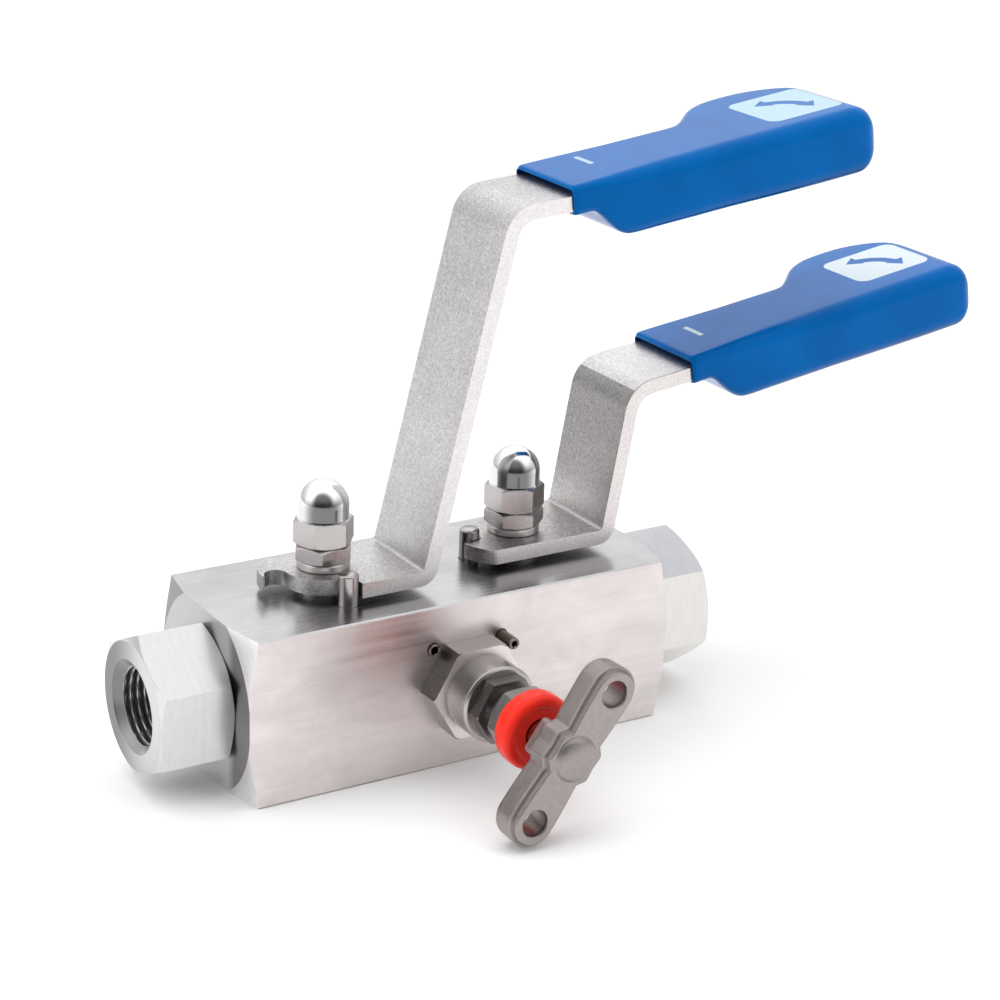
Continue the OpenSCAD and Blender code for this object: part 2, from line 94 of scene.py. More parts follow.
def prism(name, poly, a0, a1, axis="z", at=(0, 0, 0)):
    """Polygon extruded along an axis, between a0 and a1."""
    n = len(poly)

    def pt(p, h):
        if axis == "z":
            return (at[0] + p[0], at[1] + p[1], at[2] + h)
        if axis == "x":
            return (at[0] + h, at[1] + p[0], at[2] + p[1])
        if axis == "y":
            return (at[0] + p[0], at[1] + h, at[2] + p[1])
        return (at[0] + p[0], at[1] - h, at[2] + p[1])
    verts = [pt(p, a0) for p in poly] + [pt(p, a1) for p in poly]
    faces = [list(range(n)), list(range(n, 2 * n))]
    faces += [[i, (i + 1) % n, n + (i + 1) % n, n + i] for i in range(n)]
    return make(name, verts, faces)


def bake(ob):
    bpy.context.view_layer.update()
    dg = bpy.context.evaluated_depsgraph_get()
    me = bpy.data.meshes.new_from_object(ob.evaluated_get(dg))
    ob.modifiers.clear()
    old = ob.data
    ob.data = me
    bpy.data.meshes.remove(old)
    return ob


def combine(a, b, op="DIFFERENCE"):
    m = a.modifiers.new("bool", "BOOLEAN")
    m.operation, m.object, m.solver = op, b, "EXACT"
    bake(a)
    me = b.data
    bpy.data.objects.remove(b)
    bpy.data.meshes.remove(me)
    return a


def cut(a, *tools):
    for t in tools:
        combine(a, t, "DIFFERENCE")
    return a


def join(a, *tools):
    for t in tools:
        combine(a, t, "UNION")
    return a


def clean(ob, angle=0.5):
    bm = bmesh.new()
    bm.from_mesh(ob.data)
    bmesh.ops.remove_doubles(bm, verts=bm.verts, dist=1e-6)
    bmesh.ops.dissolve_limit(bm, angle_limit=math.radians(angle), use_dissolve_boundaries=False,
                             verts=bm.verts, edges=bm.edges)
    bmesh.ops.dissolve_degenerate(bm, dist=1e-6, edges=bm.edges)
    bm.to_mesh(ob.data)
    bm.free()
    return ob


def soften(ob, width, seg=2, angle=28, sharp=38):
    """Rounds every edge sharper than the angle, and shades the result smooth with flat faces kept flat."""
    clean(ob)
    if width:
        m = ob.modifiers.new("bevel", "BEVEL")
        m.width, m.segments, m.limit_method = width * S, seg, "ANGLE"
        m.angle_limit = math.radians(angle)
        m.use_clamp_overlap = True
        m.miter_outer = "MITER_ARC"
        bake(ob)
    return smooth(ob, sharp)


def smooth(ob, sharp=38, weighted=True):
    ob.data.shade_smooth()
    ob.data.set_sharp_from_angle(angle=math.radians(sharp))
    if weighted:
        m = ob.modifiers.new("wn", "WEIGHTED_NORMAL")
        m.keep_sharp, m.mode, m.weight = True, "FACE_AREA", 60
        bake(ob)
    return ob


def arc(cx, cy, r, a0, a1, n):
    return [(cx + r * math.cos(math.radians(a0 + (a1 - a0) * i / n)),
             cy + r * math.sin(math.radians(a0 + (a1 - a0) * i / n))) for i in range(n + 1)]


def ngon(r, clock=0.0, n=6):
    return [(r * math.cos(math.radians(clock) + 2 * math.pi * i / n),
             r * math.sin(math.radians(clock) + 2 * math.pi * i / n)) for i in range(n)]


def merged(name, *obs):
    bm = bmesh.new()
    for o in obs:
        bm.from_mesh(o.data)
    me = bpy.data.meshes.new(name)
    bm.to_mesh(me)
    bm.free()
    ob = bpy.data.objects.new(name, me)
    scene.collection.objects.link(ob)
    for o in obs:
        bpy.data.objects.remove(o)
    return ob


def dress(ob, body, nodes, mat):
    ob.data.materials.clear()
    ob.data.materials.append(mat)
    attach(ob, body)
    if nodes:
        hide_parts(*([nodes] if isinstance(nodes, str) else nodes))
    return ob


# ---------------------------------------------------------------- materials
class Tree:
    """Short names for the nodes used below."""

    def __init__(self, tree, coord):
        self.t = tree
        self.c = self.node("ShaderNodeTexCoord").outputs[coord]

    def node(self, kind, **props):
        n = self.t.nodes.new(kind)
        for k, v in props.items():
            setattr(n, k, v)
        return n

    def link(self, a, b):
        self.t.links.new(a, b)

    def mapped(self, scale, loc=(0, 0, 0), rot=(0, 0, 0), src=None):
        n = self.node("ShaderNodeMapping")
        n.inputs["Scale"].default_value = scale
        n.inputs["Location"].default_value = loc
        n.inputs["Rotation"].default_value = rot
        self.link(src or self.c, n.inputs["Vector"])
        return n.outputs["Vector"]

    def noise(self, vec, scale=1.0, detail=3.0, rough=0.55, distortion=0.0):
        n = self.node("ShaderNodeTexNoise")
        n.inputs["Scale"].default_value = scale
        n.inputs["Detail"].default_value = detail
        n.inputs["Roughness"].default_value = rough
        n.inputs["Distortion"].default_value = distortion
        self.link(vec, n.inputs["Vector"])
        return n.outputs["Fac"]

    def math(self, op, a, b=None, c=None, clamp=False):
        n = self.node("ShaderNodeMath", operation=op)
        n.use_clamp = clamp
        for i, x in enumerate((a, b, c)):
            if x is None:
                continue
            if isinstance(x, (int, float)):
                n.inputs[i].default_value = x
            else:
                self.link(x, n.inputs[i])
        return n.outputs[0]

    def remap(self, v, a, b, c, d, smooth_step=False):
        n = self.node("ShaderNodeMapRange")
        n.interpolation_type = "SMOOTHSTEP" if smooth_step else "LINEAR"
        for i, x in enumerate((v, a, b, c, d)):
            if isinstance(x, (int, float)):
                n.inputs[i].default_value = x
            else:
                self.link(x, n.inputs[i])
        return n.outputs[0]

    def mix(self, fac, a, b, blend="MIX"):
        n = self.node("ShaderNodeMix", data_type="RGBA", blend_type=blend)
        for sock, x in ((n.inputs["Factor"], fac), (n.inputs["A"], a), (n.inputs["B"], b)):
            if isinstance(x, (int, float)):
                sock.default_value = x
            elif isinstance(x, tuple):
                sock.default_value = (*x, 1) if len(x) == 3 else x
            else:
                self.link(x, sock)
        return n.outputs["Result"]

    def axes(self, src=None):
        n = self.node("ShaderNodeSeparateXYZ")
        self.link(src or self.c, n.inputs[0])
        return n.outputs[0], n.outputs[1], n.outputs[2]

    def join3(self, x, y, z):
        n = self.node("ShaderNodeCombineXYZ")
        for i, v in enumerate((x, y, z)):
            if isinstance(v, (int, float)):
                n.inputs[i].default_value = v
            else:
                self.link(v, n.inputs[i])
        return n.outputs[0]


class Mat(Tree):
    """A node material around one Principled BSDF."""

    def __init__(self, name, color, rough, metallic=1.0):
        self.m = bpy.data.materials.new(name)
        self.m.use_nodes = True
        super().__init__(self.m.node_tree, "Object")
        self.b = self.t.nodes["Principled BSDF"]
        self.b.inputs["Metallic"].default_value = metallic
        self.b.inputs["Roughness"].default_value = rough
        self.b.inputs["Base Color"].default_value = (*color, 1)
        self.m.diffuse_color = (*color, 1)

    def color(self, v):
        self.link(v, self.b.inputs["Base Color"])

    def rough(self, v):
        self.link(v, self.b.inputs["Roughness"])

    def bump(self, *layers):
        """layers: (height socket, strength, distance in metres), chained."""
        prev = None
        for h, strength, dist in layers:
            n = self.node("ShaderNodeBump")
            n.inputs["Strength"].default_value = strength
            n.inputs["Distance"].default_value = dist
            self.link(h, n.inputs["Height"])
            if prev is not None:
                self.link(prev, n.inputs["Normal"])
            prev = n.outputs["Normal"]
        self.link(prev, self.b.inputs["Normal"])


def tint(col, f):
    return tuple(max(0.0, min(1.0, c * f)) for c in col)


def brushed(name, col, rough=0.34, along=(14, 1500, 1500), depth=0.5, spread=0.10, mottle=0.05, blotch=0.0):
    m = Mat(name, col, rough)
    fine = m.noise(m.mapped(along), 1.0, 4, 0.62)
    wide = m.noise(m.mapped((along[0] * 0.5 + 2, along[1] * 0.12 + 2, along[2] * 0.12 + 2)), 1.0, 3, 0.6)
    cloud = m.noise(m.mapped((28, 28, 28)), 1.0, 3, 0.5)
    v = m.math("ADD", m.math("MULTIPLY", fine, 0.45), m.math("MULTIPLY", wide, 0.35))
    v = m.math("ADD", v, m.math("MULTIPLY", cloud, 0.20))
    out = m.mix(m.remap(v, 0.33, 0.67, 0.0, 1.0), tint(col, 1 - spread), tint(col, 1 + mottle))
    if blotch:
        # broad, cloudy differences in tone
        b = m.noise(m.mapped((52, 70, 95), loc=(1.7, 0.4, 2.2)), 1.0, 4, 0.6, 0.8)
        f = m.remap(b, 0.32, 0.68, 1 - blotch, 1.0)
        out = m.mix(1.0, out, m.join3(f, f, f), "MULTIPLY")
    m.color(out)
    m.rough(m.remap(fine, 0.25, 0.75, rough * 0.82, rough * 1.2))
    m.bump((wide, 0.10 * depth, 0.00012), (fine, 0.30 * depth, 0.00005))
    return m.m


def turned(name, col, rough=0.26, axis="x", centre=(0, 0, 0.021), pitch=5200, depth=0.5, spread=0.08, grade=None, grade2=None):
    """Fine lathe rings about an axis, plus a little cloudiness."""
    m = Mat(name, col, rough)
    p = m.mapped((1, 1, 1), loc=tuple(-c for c in centre))
    x, y, z = m.axes(p)
    a, b, h = {"x": (y, z, x), "y": (x, z, y), "z": (x, y, z)}[axis]
    r = m.math("SQRT", m.math("ADD", m.math("MULTIPLY", a, a), m.math("MULTIPLY", b, b)))
    rings = m.noise(m.join3(m.math("MULTIPLY", r, pitch), m.math("MULTIPLY", h, pitch), 0.0), 1.0, 2, 0.5)
    broad = m.noise(m.join3(m.math("MULTIPLY", r, pitch * 0.16), m.math("MULTIPLY", h, pitch * 0.16), 3.1), 1.0, 2, 0.5)
    cloud = m.noise(m.mapped((60, 60, 60)), 1.0, 4, 0.6)
    v = m.math("ADD", m.math("MULTIPLY", rings, 0.35), m.math("MULTIPLY", broad, 0.35))
    v = m.math("ADD", v, m.math("MULTIPLY", cloud, 0.3))
    out = m.mix(m.remap(v, 0.35, 0.65, 0.0, 1.0), tint(col, 1 - spread), tint(col, 1 + spread * 0.4))
    for g in (grade, grade2):
        # painted light and shade: tone graded across the piece, standing in for reflections and shade: (direction,
        # from, to, factor, factor)
        if g:
            f = m.remap(m.axes()["xyz".index(g[0])], g[1], g[2], g[3], g[4], True)
            out = m.mix(1.0, out, m.join3(f, f, f), "MULTIPLY")
    m.color(out)
    m.rough(m.remap(cloud, 0.3, 0.7, rough * 0.85, rough * 1.2))
    m.bump((broad, 0.12 * depth, 0.0001), (rings, 0.25 * depth, 0.00004))
    return m.m


def blasted(name, col, rough=0.46, grain=2600, depth=0.55, spread=0.22, foot=1.0):
    """Bead-blasted or cast surface: small pits with a fine sparkle of light and dark."""
    m = Mat(name, col, rough)
    g1 = m.noise(m.mapped((grain, grain, grain)), 1.0, 2, 0.6)
    g2 = m.noise(m.mapped((grain * 0.42,) * 3, loc=(3, 1, 2)), 1.0, 3, 0.6)
    cloud = m.noise(m.mapped((45, 45, 45)), 1.0, 3, 0.55)
    v = m.math("ADD", m.math("MULTIPLY", g1, 0.5), m.math("MULTIPLY", g2, 0.35))
    v = m.math("ADD", v, m.math("MULTIPLY", cloud, 0.15))
    out = m.mix(m.remap(v, 0.34, 0.66, 0.0, 1.0), tint(col, 1 - spread), tint(col, 1 + spread * 0.75))
    if foot != 1:
        # painted light and shade: the plate near the block is lightened or darkened apart from the arm, standing in for
        # the different light on it
        f = m.remap(m.axes()[2], 0.0478, 0.060, foot, 1.0, True)
        out = m.mix(1.0, out, m.join3(f, f, f), "MULTIPLY")
    m.color(out)
    m.rough(m.remap(g2, 0.3, 0.7, rough * 0.85, rough * 1.15))
    m.bump((g2, 0.25 * depth, 0.00012), (g1, 0.35 * depth, 0.00006))
    return m.m


def polished(name, col, rough=0.05, low=None):
    m = Mat(name, col, rough)
    s = m.noise(m.mapped((900, 900, 260)), 1.0, 4, 0.6)
    w = m.noise(m.mapped((140, 140, 140)), 1.0, 3, 0.5)
    out = m.mix(m.remap(w, 0.3, 0.7, 0.0, 1.0), tint(col, 0.96), tint(col, 1.03))
    if low:
        # darkened on the front of the straight part, fading out from low[0] to low[1], in place of a dark reflection
        x, y, z = m.axes()
        dx = m.math("SUBTRACT", x, m.math("MULTIPLY", m.math("SIGN", x), 0.0265))
        front = m.math("ADD", m.math("MULTIPLY", dx, -0.45 / 0.00618), m.math("MULTIPLY", y, -0.89 / 0.00618))
        under = m.math("MULTIPLY", m.remap(z, low[0], low[1], 1.0, 0.0, True), m.remap(front, 0.60, 0.95, 0.25, 1.0, True))
        f = m.remap(under, 0.0, 1.0, 1.0, low[2])
        out = m.mix(1.0, out, m.join3(f, f, f), "MULTIPLY")
    m.color(out)
    m.rough(m.remap(s, 0.3, 0.75, rough, rough * 2.0))
    m.bump((w, 0.05, 0.0002))
    return m.m


def plastic(name, col, rough=0.32, grain=1400, depth=0.12, metallic=0.0, coat=0.0, spread=0.06, sheen=None):
    m = Mat(name, col, rough, metallic)
    if sheen:
        m.b.inputs["Specular Tint"].default_value = (*sheen, 1)
    g = m.noise(m.mapped((grain, grain, grain)), 1.0, 3, 0.6)
    w = m.noise(m.mapped((70, 70, 70)), 1.0, 3, 0.5)
    m.color(m.mix(m.remap(w, 0.3, 0.7, 0.0, 1.0), tint(col, 1 - spread), tint(col, 1 + spread)))
    m.rough(m.remap(g, 0.3, 0.7, rough * 0.88, rough * 1.12))
    m.bump((w, 0.05, 0.0004), (g, depth, 0.00004))
    m.b.inputs["Coat Weight"].default_value = coat
    m.b.inputs["Coat Roughness"].default_value = 0.12
    return m.m


BODY = brushed("bar_stock", (0.80, 0.745, 0.735), 0.36, blotch=0.15)
# painted shade: the block's top faces take a darker, cooler copy of the bar's brushed finish
BODY_TOP_SHADED = brushed("bar_top_shaded", (0.57, 0.562, 0.572), 0.25, blotch=0.16)
# painted light and shade on the block's ends: the end face is lighter towards the bottom and darker at its front edge
# beside the connector; the cone is a lighter copy, darker towards the back
BODY_END = turned("bar_end", (0.53, 0.52, 0.52), 0.38, "x", depth=0.8, grade=("z", 0.006, 0.026, 1.72, 0.96), grade2=("y", -0.0160, -0.0115, 0.40, 1.0))
BODY_CONE = turned("bar_cone", (0.92, 0.91, 0.91), 0.42, "x", depth=0.8, grade=("y", -0.012, 0.010, 1.0, 0.32))
MACHINED_X = turned("machined_connector", (0.66, 0.65, 0.65), 0.30, "x")
# painted light: the right connector takes a lighter, rougher copy of the left one's machined finish
MACHINED_R_LIT = turned("machined_connector_right_lit", (0.92, 0.90, 0.87), 0.55, "x")
# painted light and shade: the connector's end face is a darker copy graded lighter to the front and darker to the back,
# and the countersink darkens towards the back, in place of reflections
CONN_FACE = turned("connector_face", (0.37, 0.365, 0.362), 0.34, "x", depth=0.8, grade=("y", -0.013, 0.013, 1.30, 0.62))
SINK = turned("countersink", (0.62, 0.61, 0.605), 0.34, "x", depth=0.6, grade=("y", -0.009, 0.011, 1.0, 0.34))
THREAD = turned("cut_thread", (0.50, 0.49, 0.485), 0.30, "x", depth=0.6, spread=0.16)
# painted light and shade: the last argument (foot) lightens or darkens each plate near the block apart from its arm
LEVER = blasted("blasted_strip", (0.61, 0.595, 0.595), 0.42, 2900, 0.8, 0.46, 0.95)
LEVER_EDGE = blasted("sheared_edge", (0.77, 0.74, 0.74), 0.38, 2700, 0.7, 0.24, 0.84)
# painted light and shade: the right strip is a darker copy of the left's blasted finish, its side faces a slightly
# darker copy and its upward faces a lighter copy
LEVER_R_SHADED = blasted("blasted_strip_right_shaded", (0.34, 0.328, 0.325), 0.42, 2500, 0.8, 0.50, 1.55)
LEVER_EDGE_R = blasted("sheared_edge_right", (0.72, 0.68, 0.675), 0.38, 2700, 0.7, 0.24, 0.98)
LEVER_TOP_R_LIT = blasted("blasted_top_right_lit", (0.68, 0.665, 0.665), 0.42, 2700, 0.8, 0.40)
CHROME = polished("polished_dome", (0.87, 0.87, 0.87), 0.10, (0.0642, 0.0661, 0.20))
NUT = brushed("nut_flats", (0.47, 0.445, 0.44), 0.25, (420, 420, 300), 0.12, 0.05)
COLLAR = turned("turned_collar", (0.68, 0.64, 0.635), 0.30, "z", (-0.0265, 0, 0), 5200, 0.5)
PIN = brushed("ground_pin", (0.44, 0.415, 0.41), 0.22, (1200, 1200, 60), 0.3)
SPRING_PIN = brushed("rolled_pin", (0.28, 0.225, 0.20), 0.34, (900, 40, 900), 0.6, 0.2)
# painted light and shade: the bonnet's hexagon takes lit and shaded copies of its finish, a lighter front face and top
# flat and a darker upper-left flat
BONNET = turned("turned_bonnet", (0.47, 0.442, 0.43), 0.28, "y", (0, 0, 0.021), 4200, 0.35, 0.14)
BONNET_FACE_LIT = turned("bonnet_face_lit", (0.90, 0.86, 0.84), 0.44, "y", (0, 0, 0.021), 4200, 0.35, 0.10)
BONNET_TOP_LIT = brushed("bonnet_upper_flats_lit", (0.60, 0.56, 0.545), 0.30, (700, 14, 700), 0.4, 0.10)
BONNET_SIDE_SHADED = brushed("bonnet_side_flats_shaded", (0.34, 0.32, 0.31), 0.30, (700, 14, 700), 0.4, 0.12)
BOLT = turned("gland_bolt", (0.42, 0.42, 0.41), 0.30, "y", (0, 0, 0.021), 4200, 0.5, 0.14)
DARK = turned("dark_nut", (0.26, 0.24, 0.235), 0.28, "y", (0, 0, 0.021), 3000, 0.6, 0.25)
SHAFT = turned("shaft", (0.55, 0.54, 0.53), 0.26, "y", (0, 0, 0.021), 4200, 0.5, 0.10)
STEM_M = turned("stem_finish", (0.52, 0.50, 0.49), 0.30, "z", (0, 0, 0), 4200, 0.5, 0.12)
RED = plastic("red_cap", (0.80, 0.028, 0.016), 0.30, 1200, 0.08, sheen=(1.0, 0.25, 0.2))
PTFE = plastic("sealing_plastic", (0.86, 0.86, 0.82), 0.42)
RUBBER = plastic("seal_rubber", (0.018, 0.018, 0.018), 0.55)
BALL = polished("polished_ball", (0.84, 0.84, 0.84), 0.06)


def cast(name, col):
    """The T-bar's cast skin, with painted shade in the step that runs round its front face."""
    m = Mat(name, col, 0.44)
    g1 = m.noise(m.mapped((1500, 1500, 1500)), 1.0, 2, 0.6)
    g2 = m.noise(m.mapped((620, 620, 620), loc=(3, 1, 2)), 1.0, 3, 0.6)
    cloud = m.noise(m.mapped((70, 70, 70)), 1.0, 3, 0.55)
    v = m.math("ADD", m.math("MULTIPLY", g1, 0.4), m.math("MULTIPLY", g2, 0.35))
    v = m.math("ADD", v, m.math("MULTIPLY", cloud, 0.25))
    base = m.mix(m.remap(v, 0.34, 0.66, 0.0, 1.0), tint(col, 0.84), tint(col, 1.14))
    x, y, z = m.axes()
    # painted shade in the hollow step that runs round the front face
    step_shade = m.math("MULTIPLY", m.remap(y, -0.07038, -0.07022, 1.0, 0.0), m.remap(y, -0.07128, -0.07112, 0.0, 1.0))
    m.color(m.mix(m.math("MULTIPLY", step_shade, 0.62), base, tint(col, 0.42)))
    m.rough(m.remap(g2, 0.3, 0.7, 0.38, 0.50))
    m.bump((cloud, 0.06, 0.0008), (g2, 0.16, 0.00014), (g1, 0.22, 0.00006))
    return m.m


CAST = cast("cast_bar", (0.36, 0.325, 0.315))


def vinyl(name, mouth, pitch, patch, bar, pale):
    """Blue dipped vinyl with a pale printed panel and a small index mark on its upper face.
    mouth is where the sleeve starts (x, z in mm), pitch its slope; patch and bar are (x0, x1, y0, y1) in mm."""
    blue = (0.0012, 0.112, 0.385)
    m = Mat(name, blue, 0.24, 0.0)
    m.b.inputs["Specular Tint"].default_value = (0.05, 0.30, 1.0, 1)
    m.b.inputs["IOR"].default_value = 1.42
    m.b.inputs["Specular IOR Level"].default_value = 0.24
    g = m.noise(m.mapped((1700, 1700, 1700)), 1.0, 3, 0.6)
    w = m.noise(m.mapped((55, 55, 55)), 1.0, 3, 0.5)
    base = m.mix(m.remap(w, 0.3, 0.7, 0.0, 1.0), tint(blue, 0.90), tint(blue, 1.10))
    x, y, z = m.axes()
    slope = math.tan(math.radians(pitch))
    # height above a plane just under the sleeve's upper face
    up = m.math("SUBTRACT", z, m.math("ADD", m.math("MULTIPLY", m.math("SUBTRACT", x, mouth[0] * S), slope), (mouth[1] - 5.0) * S))
    upper = m.remap(up, 0.0, 0.0004, 0.0, 1.0)
    low = m.remap(up, -0.0122, -0.0088, 0.40, 1.0, True)                  # painted shade along the lower edge, holding down the floor's reflection there
    base = m.mix(1.0, base, m.join3(low, low, low), "MULTIPLY")

    def panel(x0, x1, y0, y1, r, soft=0.00012):
        cx, cy, hx, hy = (x0 + x1) / 2 * S, (y0 + y1) / 2 * S, (x1 - x0) / 2 * S, (y1 - y0) / 2 * S
        dx = m.math("MAXIMUM", m.math("SUBTRACT", m.math("ABSOLUTE", m.math("SUBTRACT", x, cx)), hx - r * S), 0.0)
        dy = m.math("MAXIMUM", m.math("SUBTRACT", m.math("ABSOLUTE", m.math("SUBTRACT", y, cy)), hy - r * S), 0.0)
        d = m.math("SQRT", m.math("ADD", m.math("MULTIPLY", dx, dx), m.math("MULTIPLY", dy, dy)))
        return m.remap(d, r * S - soft, r * S + soft, 1.0, 0.0)

    # a plain quarter-turn arrow inside the panel
    cx, cy = (patch[0] + patch[1]) / 2 - 5.6, (patch[2] + patch[3]) / 2 - 5.4
    ax, ay = m.math("SUBTRACT", x, cx * S), m.math("SUBTRACT", y, cy * S)
    rad = m.math("SQRT", m.math("ADD", m.math("MULTIPLY", ax, ax), m.math("MULTIPLY", ay, ay)))
    ring = m.remap(m.math("ABSOLUTE", m.math("SUBTRACT", rad, 10.0 * S)), 0.00135, 0.00155, 1.0, 0.0)
    quarter = m.math("MULTIPLY", m.math("GREATER_THAN", ax, 0.0019), m.math("GREATER_THAN", ay, 0.0019))
    ring = m.math("MULTIPLY", ring, quarter)

    def head(along, across):
        # triangle with its tip on the axis and its base 3.4 mm back
        t = m.math("MULTIPLY", m.math("SUBTRACT", along, -0.0006), 0.72)
        inside = m.math("LESS_THAN", m.math("ABSOLUTE", m.math("SUBTRACT", across, 0.0100)), t)
        return m.math("MULTIPLY", inside, m.math("LESS_THAN", along, 0.0034))
    heads = m.math("MAXIMUM", m.math("MULTIPLY", head(ay, ax), m.math("GREATER_THAN", ax, 0.004)),
                   m.math("MULTIPLY", head(ax, ay), m.math("GREATER_THAN", ay, 0.004)))
    arrow = m.math("MAXIMUM", ring, heads, clamp=True)
    mark = m.math("MULTIPLY", panel(*patch, 3.0), m.math("SUBTRACT", 1.0, arrow))
    mark = m.math("MAXIMUM", mark, m.math("MULTIPLY", panel(*bar, 0.4, 0.00015), 0.92))
    mark = m.math("MULTIPLY", mark, upper)
    m.color(m.mix(mark, base, pale))
    m.rough(m.remap(g, 0.3, 0.7, 0.13, 0.18))
    m.bump((w, 0.10, 0.0006), (g, 0.06, 0.00004))
    return m.m


# ---------------------------------------------------------------- camera
cam = bpy.data.cameras.new("camera")
cam.lens, cam.sensor_width, cam.sensor_fit = 2649.65 / 1000 * 36, 36, "HORIZONTAL"
cam.clip_start, cam.clip_end = 0.05, 30
cam_ob = bpy.data.objects.new("camera", cam)
scene.collection.objects.link(cam_ob)
right = Vector((0.853842, -0.519688, 0.029641))
down = Vector((-0.156887, -0.311222, -0.937298))
ahead = Vector((0.496327, 0.795654, -0.347266))
cam_ob.matrix_world = Matrix(((right.x, -down.x, -ahead.x, -0.300884),
                              (right.y, -down.y, -ahead.y, -0.518328),
                              (right.z, -down.z, -ahead.z, 0.281972),
                              (0, 0, 0, 1)))
scene.camera = cam_ob


# ---------------------------------------------------------------- body
def thread_cutter(name, x0, x1, r0, depth, pitch, taper=0.0, seg=96, hand=1, at=(0, 0, ZC), axis="x"):
    """A plug whose side is an internal thread: a helical ridge about the axis."""
    step = pitch / 14.0
    n = int(round((x1 - x0) / step))
    verts, rows = [], []
    for i in range(n + 1):
        h = x0 + (x1 - x0) * i / n
        row = []
        for k in range(seg):
            a = 2 * math.pi * k / seg
            ph = (h / pitch - hand * k / seg) % 1.0
            w = abs(2 * ph - 1)                      # 0 at the groove's bottom, 1 at the crest
            w = min(1.0, max(0.0, (w - 0.08) / 0.80))
            r = r0 + taper * (h - x0) + depth * (1 - w)
            verts.append(place(axis, r, a, h, at))
            row.append(len(verts) - 1)
        rows.append(row)
    faces = [list(reversed(rows[0])), rows[-1]]
    for i in range(n):
        for k in range(seg):
            j = (k + 1) % seg
            faces.append([rows[i][k], rows[i][j], rows[i + 1][j], rows[i + 1][k]])
    return make(name, verts, faces)


def build_body():
    hl, d, e = 57.6, 23.5, 0.42
    box = prism("body_block", [(-d + e, 0), (d - e, 0), (d, e), (d, TOP - e), (d - e, TOP), (-d + e, TOP), (-d, TOP - e), (-d, e)],
                -hl, hl, "x")
    tool = lathe("ends", [(0, -hl), (23.8, -hl), (35.8, -hl + 3.81), (35.8, hl - 3.81), (23.8, hl), (0, hl)], "x", (0, 0, ZC), 360)
    combine(box, tool, "INTERSECT")
    for s in (-1, 1):
        cut(box, lathe("b", [(0, 38), (13.5, 38), (13.5, 58.6), (0, 58.6)] if s > 0 else [(0, -58.6), (13.5, -58.6), (13.5, -38), (0, -38)], "x", (0, 0, ZC), 96))
        cut(box, lathe("b", [(0, 30), (7, 30), (7, 43), (0, 43)], "z", (s * STEM, 0, 0), 96))
        px, py = (-STEM, -12.6) if s < 0 else (STEM - 12.6, 0)
        cut(box, lathe("b", [(0, 35), (2.5, 35), (2.5, 41.8), (2.8, 42.2), (0, 42.2)], "z", (px, py, 0), 48))
        cut(box, lathe("b", [(0, 12), (1.5, 12), (1.5, 23.2), (1.85, 23.6), (0, 23.6)], "b", (s * 9.4, 0, 31.2), 48))
    cut(box, lathe("b", [(0, 14), (8.05, 14), (8.05, 24), (0, 24)], "b", (0, 0, ZC), 96))
    cut(box, thread_cutter("b", -0.4, 10.5, 5.55, 0.85, 1.411, 0, 64, 1, (0, -14, 0), "z"))
    cut(box, lathe("b", [(0, -0.5), (7.4, -0.5), (5.6, 1.3), (0, 1.3)], "z", (0, -14, 0), 96))
    soften(box, 0.12, 2, 24)
    # the turned ends take their own finish, with painted light and shade graded into the end faces and cones; the top
    # faces take a darker, cooler copy of the bar's finish: painted shade
    me = box.data
    me.materials.append(BODY)
    me.materials.append(BODY_END)
    me.materials.append(THREAD)
    me.materials.append(BODY_TOP_SHADED)
    me.materials.append(BODY_CONE)
    for p in me.polygons:
        c, n = p.center, p.normal
        if abs(c.x) > 0.0530 and abs(n.x) > 0.6:
            p.material_index = 1 if abs(n.x) > 0.985 else 4
        # top faces: the darker, cooler copy of the finish, which is painted shade
        elif c.z > 0.0415 and n.z > 0.3:
            p.material_index = 3
        elif c.z < 0.012 and math.hypot(c.x, c.y + 0.014) < 0.0078 and abs(n.z) < 0.97:
            p.material_index = 2
    return box


def keep_slots(ob, body, nodes):
    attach(ob, body)
    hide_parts(*([nodes] if isinstance(nodes, str) else nodes))
    return ob


keep_slots(build_body(), "valve_block", "valve_body")


